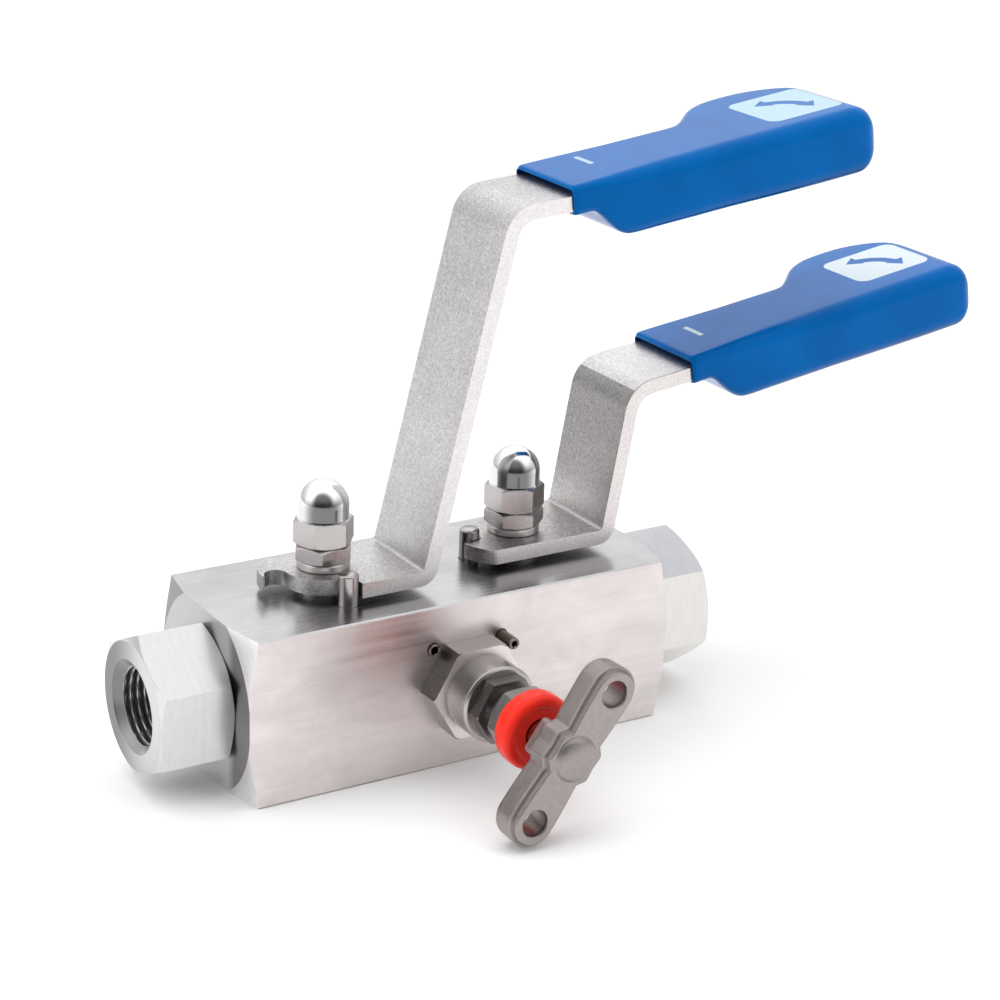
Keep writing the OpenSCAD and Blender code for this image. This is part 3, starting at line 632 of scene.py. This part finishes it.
# ---------------------------------------------------------------- end connectors
def connector(name, side, clock):
    cr, x0, x1 = 16 / math.cos(math.pi / 6), 57.65, 76.3
    a = math.radians(clock)
    hexa = [(-cr * math.sin(a + math.pi / 3 * k), cr * math.cos(a + math.pi / 3 * k)) for k in range(6)]
    ob = prism(name, hexa, x0, x1, "x", (0, 0, ZC))
    tool = lathe("t", [(0, x0), (15.75, x0), (16.05, x0 + 0.12), (cr + 0.4, x0 + 1.45), (cr + 0.4, x1 - 1.45), (16.05, x1 - 0.12), (15.75, x1), (0, x1)],
                 "x", (0, 0, ZC), 240)
    combine(ob, tool, "INTERSECT")
    soften(ob, 0.22, 2, 20)
    # nose inside the body, clear of the hexagon's rounding
    cut(ob, thread_cutter("t", 60.3, 74.6, 9.1, 1.28, 1.814, 0.0, 128, side))
    cut(ob, lathe("t", [(0, 74.2), (9.4, 74.45), (11.05, 76.0), (11.3, 76.18), (11.7, 76.9), (0, 76.9)], "x", (0, 0, ZC), 160))
    cut(ob, lathe("t", [(0, 50), (5, 50), (5, 59.8), (5.6, 60.5), (0, 60.5)], "x", (0, 0, ZC), 96))
    neck = lathe("n", [(5, 38.6), (11.1, 38.6), (11.1, 42.6), (13.4, 42.6), (13.4, 53.8), (11.7, 53.8), (11.7, 56.2), (13.4, 56.2),
                       (13.4, 57.9), (5, 57.9)], "x", (0, 0, ZC), 96, loop=True)
    join(ob, neck)
    if side < 0:
        ob.data.transform(Matrix.Diagonal((-1, 1, 1, 1)))
        ob.data.flip_normals()
    smooth(ob, 26)
    me = ob.data
    # the right connector takes the lighter copy of the finish: painted light
    me.materials.append(MACHINED_X if side < 0 else MACHINED_R_LIT)
    me.materials.append(THREAD)
    me.materials.append(CONN_FACE)
    me.materials.append(SINK)
    for p in me.polygons:
        c = p.center
        r, x = math.hypot(c.y, c.z - 0.021) / S, abs(c.x) / S
        if r < 10.9 and 59.5 < x < 75.8 and abs(r - 9.4 - (x - 74.45) * 1.0645) > (0.2 if x > 74.4 else -1):
            p.material_index = 1
        elif r < 11.4 and x > 74.0:
            p.material_index = 3
        elif x > 76.2 and abs(p.normal.x) > 0.95:
            p.material_index = 2
    return ob


keep_slots(connector("left_connector", -1, 4.15), "valve_block", "left_end_connector")
keep_slots(connector("right_connector", 1, -8.5), "valve_block", "right_end_connector")


# ---------------------------------------------------------------- levers
def strip_line(rise, lean, pitch, off, n1=14, n2=22, run=94.0):
    """One face of the bent strip, from the plate's end to the strip's end."""
    foot, zp, r1, r2 = 19.3, TOP + 5.4, 1.1, 8.7
    a1, p = math.radians(90 - lean), math.radians(pitch)

    def hd(a):
        return np.array([math.cos(a), math.sin(a)])

    def ln(a):
        return np.array([-math.sin(a), math.cos(a)])
    c0 = np.array([foot, zp])
    c2 = np.array([foot + rise * math.tan(math.radians(lean)), zp + rise])
    t1, t2 = r1 * math.tan(a1 / 2), r2 * math.tan((a1 - p) / 2)
    k1 = c0 - t1 * hd(0) + r1 * ln(0)
    k2 = c2 - t2 * hd(a1) - r2 * ln(a1)
    pts = [np.array([-17.5, zp - off])]
    pts += [k1 - (r1 + off) * ln(a1 * i / n1) for i in range(n1 + 1)]
    pts += [k2 + (r2 - off) * ln(a1 + (p - a1) * i / n2) for i in range(n2 + 1)]
    pts += [c2 + run * hd(p) - off * ln(p)]
    return [tuple(q) for q in pts]


def build_lever(name, sx, rise, lean, pitch, y0, turn, edge, blend):
    prof = strip_line(rise, lean, pitch, 0) + list(reversed(strip_line(rise, lean, pitch, 3.8)))
    ob = prism(name, prof, y0, y0 + 24.6, "y", (sx, 0, 0))
    # the plate's end: an arc about the stem that blends into the strip's edge at y = edge
    side, e = (1 if edge > 0 else -1), abs(edge)
    cy = e - blend
    cx = -math.sqrt((15.9 - blend) ** 2 - cy * cy)
    a1 = math.degrees(math.atan2(cy, cx))
    pts = [(0, -26), (0, -15.9)] + arc(0, 0, 15.9, 270, a1, 60)[1:] + arc(cx, cy, blend, a1, 90, 18)[1:]
    pts += [(cx, 26), (-26, 26), (-26, -26)]
    cut(ob, prism("end", [(x, side * y) for x, y in pts], TOP, TOP + 7, "z", (sx, 0, 0)))
    # the stop recess: a quarter ring that starts at the radial wall and ends in a round pocket
    R, pr = 12.6, 2.8
    pts = [(pr, -26), (pr, -R)]
    pts += arc(0, -R, pr, 0, 90, 10)[1:]
    a_end = 9.8
    pts += arc(0, 0, a_end, -90, -180, 40)[1:-1]
    pts += arc(-R, 0, pr, 0, 90, 8)
    pts += arc(-R, 0, pr, 90, 176, 8)[1:]
    pts += [(-26, 0.2), (-26, -26)]
    t = math.radians(turn)
    pts = [(x * math.cos(t) - y * math.sin(t), x * math.sin(t) + y * math.cos(t)) for x, y in pts]
    cut(ob, prism("rec", pts, TOP - 1, TOP + 8, "z", (sx, 0, 0)))
    dd = [(max(-3.3, min(3.3, x)), y) for x, y in arc(0, 0, 4.55, 0, 360, 72)[:-1]]
    cut(ob, prism("dd", dd, TOP, TOP + 7, "z", (sx, 0, 0)))
    soften(ob, 0.42, 3, 32, 50)
    me = ob.data
    me.materials.append(LEVER if sx < 0 else LEVER_R_SHADED)
    me.materials.append(LEVER_EDGE if sx < 0 else LEVER_EDGE_R)
    me.materials.append(LEVER_TOP_R_LIT)
    for p in me.polygons:
        # the right lever's upward faces take the lighter copy: painted light
        if sx > 0 and p.normal.z > 0.72 and p.center.z > 0.075:
            p.material_index = 2
        if abs(p.normal.y) > 0.8 and min(abs(p.center.y / S - y0), abs(p.center.y / S - y0 - 24.6)) < 0.3:
            p.material_index = 1
    return ob


keep_slots(build_lever("left_lever_strip", -STEM, 86, 14, 4, -14.5, 0, 10.1, 8.0), "left_lever_set", "left_lever")
keep_slots(build_lever("right_lever_strip", STEM, 36.7, 10.1, 7, -10.7, -90, -10.7, 3.0), "right_lever_set", "right_lever")


# ---------------------------------------------------------------- grips
def curve_at(pts, x):
    xs, ys = [p[0] for p in pts], [p[1] for p in pts]
    return float(np.interp(x, xs, ys))


def smooth_curve(pts, n=400, k=9):
    """Points joined by a monotone cubic."""
    xs, ys = np.array([p[0] for p in pts], float), np.array([p[1] for p in pts], float)
    h, d = np.diff(xs), np.diff(ys) / np.diff(xs)
    m = np.zeros(len(xs))
    m[0], m[-1] = d[0], d[-1]
    for i in range(1, len(xs) - 1):
        if d[i - 1] * d[i] > 0:
            w1, w2 = 2 * h[i] + h[i - 1], h[i] + 2 * h[i - 1]
            m[i] = (w1 + w2) / (w1 / d[i - 1] + w2 / d[i])
    X = np.linspace(xs[0], xs[-1], n)
    j = np.clip(np.searchsorted(xs, X, side="right") - 1, 0, len(xs) - 2)
    t = (X - xs[j]) / h[j]
    Y = ((1 + 2 * t) * (1 - t) ** 2 * ys[j] + t * (1 - t) ** 2 * h[j] * m[j] + t * t * (3 - 2 * t) * ys[j + 1] + t * t * (t - 1) * h[j] * m[j + 1])
    return X, Y


GL = 90.6


def grip_rows():
    """Stations along the sleeve: (u, top, bottom, front, back, corner radius)."""
    bx, by = smooth_curve([(0, -7.4), (4.6, -7.45), (6.2, -7.8), (7.4, -8.7), (9.6, -11.1), (11.6, -13.3), (13.8, -15), (15.6, -15.7), (18.6, -16),
                           (31, -16.35), (45, -16.65), (62, -17.05), (76, -17.25), (GL, -17.3)])
    px, py = smooth_curve([(0, 12.9), (GL - 48.6, 12.9), (GL - 45.6, 13.2), (GL - 43.1, 14.6), (GL - 39.6, 17.6), (GL - 35.3, 21.6), (GL - 31.6, 23.7),
                           (GL - 27.6, 24.8), (GL - 23, 25.1), (GL - 19.1, 24.95), (GL - 15.6, 24.3), (GL - 12.1, 23.1), (GL - 8.6, 21.2),
                           (GL - 5.5, 18.4), (GL - 2.8, 14.3), (GL - 1, 9.6), (GL - 0.2, 5), (GL, 0)])
    us = list(np.linspace(0, 1.2, 4)) + list(np.linspace(1.8, GL - 15, 104)) + [GL - 15 + 15 * math.sin(math.radians(a)) for a in np.linspace(3, 90, 34)]
    rows = []
    for u in us:
        top, bot = 0.0, float(np.interp(u, bx, by))
        if u > GL - 7:
            top = -6 + 6 * math.sqrt(max(0.0, 1 - ((u - GL + 7) / 7) ** 2))
        if u > GL - 6:
            bot = -11.3 - 6 * math.sqrt(max(0.0, 1 - ((u - GL + 6) / 6) ** 2))
        front, back = -13.3, float(np.interp(u, px, py))
        if u > GL - 4.8:
            front += 4.8 - 4.8 * math.sqrt(max(0.0, 1 - ((u - GL + 4.8) / 4.8) ** 2))
        r = float(np.interp(u, [0, 3, 10, 24, 45], [1.9, 1.9, 2.4, 3.6, 4.2]))
        if u < 1.2:                                   # rolled lip at the mouth
            k = 0.55 * (1 - math.sqrt(max(0.0, 1 - (1 - u / 1.2) ** 2)))
            top, bot, front, back = top - k, bot + k, front + k, back - k
        rows.append((u, top, bot, front, back, r))
    return rows


def ring_points(top, bot, front, back, r, n=9, m=10):
    """A rounded rectangle in (y, w), always with the same number of points."""
    hw, hh = (back - front) / 2, (top - bot) / 2
    ry, rw = min(r, hw * 0.98), min(r, hh * 0.98)
    ry = rw = max(0.02, min(ry, rw))
    out = []
    corners = [(back - ry, top - rw, 0), (front + ry, top - rw, 90), (front + ry, bot + rw, 180), (back - ry, bot + rw, 270)]
    for i, (cy, cw, a0) in enumerate(corners):
        for k in range(n + 1):
            a = math.radians(a0 + 90 * k / n)
            out.append((cy + ry * math.cos(a), cw + rw * math.sin(a)))
        nxt = corners[(i + 1) % 4]
        a = math.radians(a0 + 90)
        p, q = out[-1], (nxt[0] + ry * math.cos(a), nxt[1] + rw * math.sin(a))
        for k in range(1, m):
            out.append((p[0] + (q[0] - p[0]) * k / m, p[1] + (q[1] - p[1]) * k / m))
    return out


def build_grip(name, sx, rise, lean, pitch, gpitch, mouth, yc):
    g = math.radians(gpitch)
    ex, ez = np.array([math.cos(g), math.sin(g)]), np.array([-math.sin(g), math.cos(g)])
    o = np.array([sx + mouth[0], TOP + mouth[1]])
    verts, rows = [], []
    for u, top, bot, front, back, r in grip_rows():
        row = []
        for y, w in ring_points(top, bot, front, back, r):
            p = o + u * ex + w * ez
            row.append(len(verts))
            verts.append((p[0], yc + y, p[1]))
        rows.append(row)
    n = len(rows[0])
    faces = []
    for a, b in zip(rows, rows[1:]):
        for i in range(n):
            j = (i + 1) % n
            faces.append([a[i], a[j], b[j], b[i]])
    # nose: closed onto the middle line of the last station
    faces.append(list(rows[-1]))
    # pocket that holds the strip, from the mouth inwards
    c2 = np.array([sx + 19.3 + rise * math.tan(math.radians(lean)), TOP + 5.4 + rise])
    p = math.radians(pitch)
    hx, hz = np.array([math.cos(p), math.sin(p)]), np.array([-math.sin(p), math.cos(p)])
    inner = []
    q0 = o + 0.0 * ex
    start = float(np.dot(q0 - c2, hx))
    for s in (start, start + 2.2, start + 5.0, start + 9.0, 94.25):
        row = []
        # the sleeve stands away from the strip at its mouth
        f = max(0.0, 1 - (s - start) / 9.0) ** 1.3
        for y, w in ring_points(0.06 + 1.40 * f, -3.86 - 0.12 * f, -12.36 - 0.42 * f, 12.36 + 0.18 * f, 0.36 + 0.6 * f):
            k = 0.0
            if s == start:
                # at the mouth the pocket's rim lies in the sleeve's own end plane
                base = c2 + s * hx + w * hz
                k = -float(np.dot(base - o, ex)) / float(np.dot(hx, ex))
            pt = c2 + (s + k) * hx + w * hz
            row.append(len(verts))
            verts.append((pt[0], yc + y, pt[1]))
        inner.append(row)
    for i in range(n):
        j = (i + 1) % n
        faces.append([rows[0][i], rows[0][j], inner[0][j], inner[0][i]])
        for a, b in zip(inner, inner[1:]):
            faces.append([a[i], a[j], b[j], b[i]])
    faces.append(list(inner[-1]))
    ob = make(name, verts, faces)
    return smooth(ob, 50, False)


LEFT_VINYL = vinyl("blue_vinyl_left", (-STEM + 56.8, TOP + 94.9), 7.7, (92.5, 115, -8.5, 12), (42.85, 44.15, -3, 4.6), (0.40, 0.56, 0.64))
RIGHT_VINYL = vinyl("blue_vinyl_right", (STEM + 43.35, TOP + 46.95), 9.1, (130, 153, -2, 16.3), (79.75, 81.05, -0.7, 6.9), (0.60, 0.68, 0.72))
dress(build_grip("left_grip_sleeve", -STEM, 86, 14, 4, 7.7, (56.8, 94.9), -2.2), "left_lever_set", "left_grip", LEFT_VINYL)
dress(build_grip("right_grip_sleeve", STEM, 36.7, 10.1, 7, 9.1, (43.35, 46.95), 1.6), "right_lever_set", "right_grip", RIGHT_VINYL)


# ---------------------------------------------------------------- nuts, collars, pins
ZN, ZA = TOP + 7.5, TOP + 11.5


def hexnut(name, sx, clock, z0, h, hole, af=13.0, top_drop=0.62, bot_drop=0.62):
    cr = af / 2 / math.cos(math.pi / 6)
    ob = prism(name, ngon(cr, clock), z0, z0 + h, "z", (sx, 0, 0))
    t = lathe("t", [(0, z0), (af / 2 - 0.25, z0), (cr + 0.3, z0 + bot_drop + 0.22), (cr + 0.3, z0 + h - top_drop - 0.22), (af / 2 - 0.25, z0 + h), (0, z0 + h)],
              "z", (sx, 0, 0), 180)
    combine(ob, t, "INTERSECT")
    cut(ob, lathe("c", [(0, z0 - 1), (hole, z0 - 1), (hole, z0 + h + 1), (0, z0 + h + 1)], "z", (sx, 0, 0), 72))
    return soften(ob, 0.10, 2, 18, 24)


def acorn(name, sx, clock):
    cr, r, z0, top = 6.5 / math.cos(math.pi / 6), 6.18, ZA, ZA + 15.8
    ob = prism(name, ngon(cr, clock), z0, z0 + 6.5, "z", (sx, 0, 0))
    t = lathe("t", [(0, z0), (6.25, z0), (cr + 0.3, z0 + 0.85), (cr + 0.3, z0 + 5.65), (6.25, z0 + 6.5), (0, z0 + 6.5)], "z", (sx, 0, 0), 180)
    combine(ob, t, "INTERSECT")
    cut(ob, lathe("c", [(0, z0 - 1), (4.02, z0 - 1), (4.02, z0 + 7), (0, z0 + 7)], "z", (sx, 0, 0), 72))
    soften(ob, 0.12, 2, 18, 24)
    prof = [(0, z0 + 10), (4.02, z0 + 10), (4.02, z0 + 6.0), (6.32, z0 + 6.0), (6.32, z0 + 6.42), (6.22, z0 + 6.62), (r, z0 + 6.9), (r, top - r)]
    prof += [(r * math.cos(math.radians(a)), top - r + r * math.sin(math.radians(a))) for a in np.linspace(0, 90, 33)[1:-1]] + [(0, top)]
    dome = lathe("dome", prof, "z", (sx, 0, 0), 128)
    ob = merged(name, ob, smooth(dome, 30))
    me = ob.data
    me.materials.append(NUT)
    me.materials.append(CHROME)
    for p in me.polygons:
        if p.center.z > (z0 + 6.35) * S:
            p.material_index = 1
    return ob


def collar(name, sx):
    z = TOP + 5.4
    return smooth(lathe(name, [(4.1, z + 0.05), (6.15, z + 0.05), (6.42, z + 0.3), (6.42, z + 1.75), (6.25, z + 1.98), (5.9, z + 2.05), (4.1, z + 2.05)],
                        "z", (sx, 0, 0), 128, loop=True), 25)


def stop_pin(name, x, y):
    return smooth(lathe(name, [(0, 35.2), (2.48, 35.2), (2.48, 49.35), (2.40, 49.55), (2.0, 49.88), (0, 49.93)], "z", (x, y, 0), 96), 30)


for side, sx, jam, top in (("left", -STEM, 1, 48), ("right", STEM, 38, 34.7)):
    body = side + "_lever_set"
    dress(hexnut(side + "_jam", sx, jam, ZN, 4.0, 4.02), body, side + "_jam_nut", NUT)
    keep_slots(acorn(side + "_acorn", sx, top), body, side + "_acorn_nut")
    dress(collar(side + "_spacer", sx), body, side + "_collar", COLLAR)


pins = merged("stop_pins", stop_pin("p", -STEM, -12.6), stop_pin("p", STEM - 12.6, 0))
dress(smooth(pins, 30), "valve_block", "lever_stop_pins", PIN)


def spring_pin(x, t1, bore):
    """A rolled pin: a tube with a slot along it and rounded rims."""
    o = lathe("sp", [(bore, t1 - 11), (1.25, t1 - 11), (1.48, t1 - 10.6), (1.48, t1 - 0.45), (1.40, t1 - 0.14), (1.28, t1), (bore + 0.14, t1 - 0.02),
                     (bore, t1 - 0.2)], "b", (x, 0, 31.2), 72, loop=True)
    ang = math.radians(250)
    c, s = math.cos(ang), math.sin(ang)
    slot = [(x + 0.4 * c - 0.16 * s, 31.2 + 0.4 * s + 0.16 * c), (x + 2 * c - 0.16 * s, 31.2 + 2 * s + 0.16 * c),
            (x + 2 * c + 0.16 * s, 31.2 + 2 * s - 0.16 * c), (x + 0.4 * c + 0.16 * s, 31.2 + 0.4 * s - 0.16 * c)]
    return cut(o, prism("slot", slot, t1 - 12, t1 + 1, "b"))


dress(smooth(merged("spring_pins", spring_pin(-9.4, 24.4, 0.98), spring_pin(9.4, 29.6, 0.78)), 35), "valve_block", "bonnet_lock_pins", SPRING_PIN)


# ---------------------------------------------------------------- bleed valve
def bleed_hex(name, af, t0, t1, clock, hole, front_r, back_r, drop=0.62, bev=0.12):
    cr = af / 2 / math.cos(math.pi / 6)
    ob = prism(name, ngon(cr, clock), t0, t1, "b", (0, 0, ZC))
    tb = (cr - back_r) * drop
    tf = (cr - front_r) * drop
    t = lathe("t", [(0, t0), (back_r, t0), (cr + 0.3, t0 + tb + 0.3 * drop), (cr + 0.3, t1 - tf - 0.3 * drop), (front_r, t1), (0, t1)], "b", (0, 0, ZC), 180)
    combine(ob, t, "INTERSECT")
    cut(ob, lathe("c", [(0, t0 - 30), (hole, t0 - 30), (hole, t1 + 30), (0, t1 + 30)], "b", (0, 0, ZC), 96))
    return soften(ob, bev, 2, 18, 26)


hexa = bleed_hex("hex", 22.2, 23.55, 30.3, 0, 8.45, 12.3, 12.4, 0.60, 0.14)
shoulder = lathe("s", [(4.6, 16.4), (7.9, 16.4), (7.9, 23.6), (8.5, 24.0), (8.5, 30.0), (9.25, 30.0), (9.25, 31.2), (9.62, 31.35), (9.7, 31.5), (9.7, 38.15),
                       (9.6, 38.42), (9.38, 38.66), (9.0, 38.9), (5.5, 38.9), (5.5, 34), (4.05, 34), (4.05, 20), (4.6, 20)], "b", (0, 0, ZC), 160, loop=True)
bonnet = dress(merged("bonnet", hexa, smooth(shoulder, 30)), "valve_block", "bleed_bonnet", BONNET)
for mat in (BONNET_FACE_LIT, BONNET_TOP_LIT, BONNET_SIDE_SHADED):
    bonnet.data.materials.append(mat)
for p in bonnet.data.polygons:
    c, n = p.center / S, p.normal
    r = math.hypot(c.x, c.z - ZC)
    # painted light and shade: the hexagon's front face and top flat take lighter copies, its upper-left flat a darker
    # one
    if n.y < -0.95 and -30.5 < c.y < -30.15:
        p.material_index = 1
    elif r > 10.4 and abs(n.y) < 0.3:
        p.material_index = 2 if n.z > 0.8 else 3 if n.x < -0.5 and n.z > 0 else 0
dress(bleed_hex("gland_lock_nut", 15.0, 38.97, 42.85, 0, 5.5, 8.3, 8.3, 0.6, 0.12), "valve_block", "packing_lock_nut", DARK)
hexa = bleed_hex("hex", 15.0, 46.6, 50.9, 0, 5.4, 8.55, 7.4, 0.555, 0.10)
sleeve = lathe("s", [(3.6, 38.5), (5.45, 38.5), (5.45, 50.6), (6.4, 50.6), (6.4, 52.35), (6.2, 52.5), (3.6, 52.5)], "b", (0, 0, ZC), 96, loop=True)
dress(merged("gland_bolt", hexa, smooth(sleeve, 30)), "valve_block", "packing_bolt", BOLT)


def build_cap():
    r = 9.4
    prof = [(6.7, 51.05), (7.2, 51.0), (8.3, 51.05), (8.95, 51.3), (9.3, 51.75), (r, 52.3), (r, 54.9), (9.32, 55.7), (9.0, 56.35), (8.5, 56.8), (7.9, 57.02),
            (7.1, 57.1), (6.8, 57.0), (6.5, 56.75), (6.1, 56.7), (5.3, 56.7), (4.9, 56.6), (3.95, 56.6), (3.8, 56.4), (3.8, 52.7), (6.7, 52.6)]
    return smooth(lathe("dust_cap_shell", prof, "b", (0, 0, ZC), 160, loop=True), 32)


dress(build_cap(), "valve_block", "dust_cap", RED)


def tpt(u, v, t):
    return (u * math.cos(TBAR) - v * math.sin(TBAR), -t, ZC + u * math.sin(TBAR) + v * math.cos(TBAR))


def bar_ring(d, hub=0.0):
    """The T-bar's outline drawn in by d: arms that widen towards round ends, and a wider hub."""
    def w(u):
        k = min(1.0, max(0.0, (u - 3.0 + 0.45 * d) / 2.7))
        return 4.95 + 1.2 * math.sin(math.radians(u / 17.25 * 90)) - d + (2.15 + hub) * (1 - k * k * (3 - 2 * k))
    us = list(np.linspace(0, 7.2, 37)) + list(np.linspace(7.2, 17.25, 15))[1:]
    q = [(u, w(u)) for u in us] + [(17.25 + (6.15 - d) * math.sin(math.radians(a)), (6.15 - d) * math.cos(math.radians(a))) for a in np.linspace(0, 90, 23)[1:]]
    top = q + [(u, -v) for u, v in reversed(q[:-1])]
    return top + [(-u, v) for u, v in reversed(top[1:-1])]


def loft(name, levels):
    """Closed solid through outlines [(points, t)] that all have the same number of points."""
    n = len(levels[0][0])
    verts = [tpt(u, v, t) for ring, t in levels for u, v in ring]
    faces = [list(range(n)), list(range(n * (len(levels) - 1), n * len(levels)))]
    for k in range(len(levels) - 1):
        faces += [[k * n + i, k * n + (i + 1) % n, (k + 1) * n + (i + 1) % n, (k + 1) * n + i] for i in range(n)]
    return make(name, verts, faces)


def rounded_rect(hu, hv, r, n=6):
    return arc(hu - r, hv - r, r, 0, 90, n) + arc(r - hu, hv - r, r, 90, 180, n) + arc(r - hu, r - hv, r, 180, 270, n) + arc(hu - r, r - hv, r, 270, 360, n)


def build_tbar():
    # rounded back, drafted wall, narrow rim, hollow step, then the raised front face
    side = [(0.95, 63.86), (0.55, 63.92), (0.30, 64.10), (0.20, 64.45), (0.17, 65.2), (0.10, 67.5), (0.03, 69.5), (0.03, 69.95), (0.10, 70.16), (0.24, 70.26),
            (0.40, 70.27), (0.52, 70.24), (0.62, 70.30), (0.74, 70.50), (0.86, 70.76), (0.96, 71.02), (1.04, 71.26), (1.12, 71.42), (1.26, 71.51), (1.45, 71.53),
            (1.9, 71.54)]
    ob = loft("t_bar_cast", [(bar_ring(d), t) for d, t in side])
    bore = [(0, 61), (3.52, 61), (3.52, 68.2), (0, 68.2)]
    cut(ob, lathe("h", bore, "b", (0, 0, ZC), 72))
    for s in (-1, 1):
        x, _, z = tpt(s * 17.05, 0, 0)
        cut(ob, lathe("h", [(0, 60), (4.3, 63.5), (3.55, 63.9), (3.2, 64.4), (3.2, 71.1), (3.26, 71.3), (3.42, 71.46), (3.7, 71.56), (4.2, 71.7), (4.2, 72.5), (0, 72.5)],
                      "b", (x, 0, z), 96))
    smooth(ob, 42)
    hub = loft("hub", [(rounded_rect(4.1, 6.1, 1.0), 61.56), (rounded_rect(4.35, 6.35, 1.2), 61.65), (rounded_rect(4.5, 6.5, 1.3), 61.9), (rounded_rect(4.6, 6.75, 1.4), 64.6)])
    cut(hub, lathe("h", bore, "b", (0, 0, ZC), 72))
    prof = [(0, 71.2), (5.9, 71.2), (5.85, 71.52), (5.5, 71.6), (5.32, 71.74), (5.2, 71.98), (4.85, 72.32), (4.25, 72.66), (3.4, 72.97), (2.4, 73.18), (1.2, 73.31), (0, 73.35)]
    return merged("t_bar_solid", ob, smooth(hub, 42), smooth(lathe("dome", prof, "b", (0, 0, ZC), 96), 42, False))


dress(build_tbar(), "bleed_handle", "t_bar", CAST)

# ---------------------------------------------------------------- carried-over nodes
CARRIED = {
    "connector_o_rings": RUBBER, "left_ball": BALL, "right_ball": BALL, "seat_rings": PTFE,
    "left_stem": STEM_M, "right_stem": STEM_M, "stem_thrust_washers": PTFE, "stem_packings": PTFE,
    "packing_glands": STEM_M, "bonnet_seal": PTFE, "needle_tip": SHAFT, "spindle": SHAFT,
    "spindle_packing": PTFE, "packing_follower": BOLT, "t_bar_set_screw": DARK,
}
for name, mat in CARRIED.items():
    me = NODE[name].data
    me.materials.clear()
    me.materials.append(mat)

# ---------------------------------------------------------------- floor and light
floor = make("floor", [(-4000, -4000, 0), (6000, -4000, 0), (6000, 6000, 0), (-4000, 6000, 0)], [(0, 1, 2, 3)])
if floor.data.polygons[0].normal.z < 0:
    floor.data.flip_normals()
fm = bpy.data.materials.new("floor")
fm.use_nodes = True
fb = fm.node_tree.nodes["Principled BSDF"]
fb.inputs["Base Color"].default_value = (0.90, 0.90, 0.90, 1)
fb.inputs["Roughness"].default_value = 0.65
fb.inputs["Specular IOR Level"].default_value = 0.1
floor.data.materials.append(fm)

world = bpy.data.worlds.new("studio")
scene.world = world
world.use_nodes = True
w = Tree(world.node_tree, "Generated")
wx, wy, wz = w.axes()


def lobe(x, y, z, c0, c1):
    """0 to 1 as the view direction comes within the cone (x, y, z) of cosine c0 to c1."""
    n = math.sqrt(x * x + y * y + z * z)
    v = w.math("ADD", w.math("MULTIPLY", wx, x / n), w.math("MULTIPLY", wy, y / n))
    return w.remap(w.math("ADD", v, w.math("MULTIPLY", wz, z / n)), c0, c1, 0.0, 1.0, True)


sky = w.remap(wz, 0.10, 0.88, 0.66, 1.38, True)
sky = w.math("ADD", sky, w.math("MULTIPLY", lobe(0.46, 0.76, 0.42, 0.74, 0.95), 0.20))      # large soft panel behind, to the right
sky = w.math("ADD", sky, w.math("MULTIPLY", lobe(0.44, 0.72, 0.60, 0.955, 0.99), 0.35))     # its brighter middle
sky = w.math("ADD", sky, w.math("MULTIPLY", lobe(-0.93, 0.10, 0.40, 0.80, 0.97), 0.45))     # panel on the left
shade = w.math("SUBTRACT", 1.0, w.math("MULTIPLY", lobe(-0.50, -0.79, 0.36, 0.56, 0.86), 0.86))
sky = w.math("MULTIPLY", sky, shade)
w.link(w.join3(sky, sky, sky), world.node_tree.nodes["Background"].inputs["Color"])
world.node_tree.nodes["Background"].inputs["Strength"].default_value = 1.0


def area(name, loc, aim, size, size_y, power):
    d = bpy.data.lights.new(name, "AREA")
    d.shape, d.size, d.size_y, d.energy = "RECTANGLE", size, size_y, power
    ob = bpy.data.objects.new(name, d)
    ob.location = loc
    ob.rotation_euler = (Vector(aim) - Vector(loc)).to_track_quat("-Z", "Y").to_euler()
    ob.visible_glossy = False           # the soft surround alone shows in the metal, without the lights' square edges
    scene.collection.objects.link(ob)
    return ob


area("key", (-0.9, -0.5, 1.3), (0, 0, 0.05), 1.6, 1.6, 7)
area("top", (0.2, 0.3, 1.6), (0.02, 0, 0.05), 1.8, 1.6, 6)
area("fill", (1.2, -0.9, 0.7), (0.02, 0, 0.05), 1.2, 1.1, 5)
area("rim", (-1.3, 0.4, 0.35), (-0.05, 0, 0.0), 1.2, 0.6, 6)
scene.view_settings.view_transform = "Standard"
scene.view_settings.look = "None"
scene.view_settings.exposure = 0.0
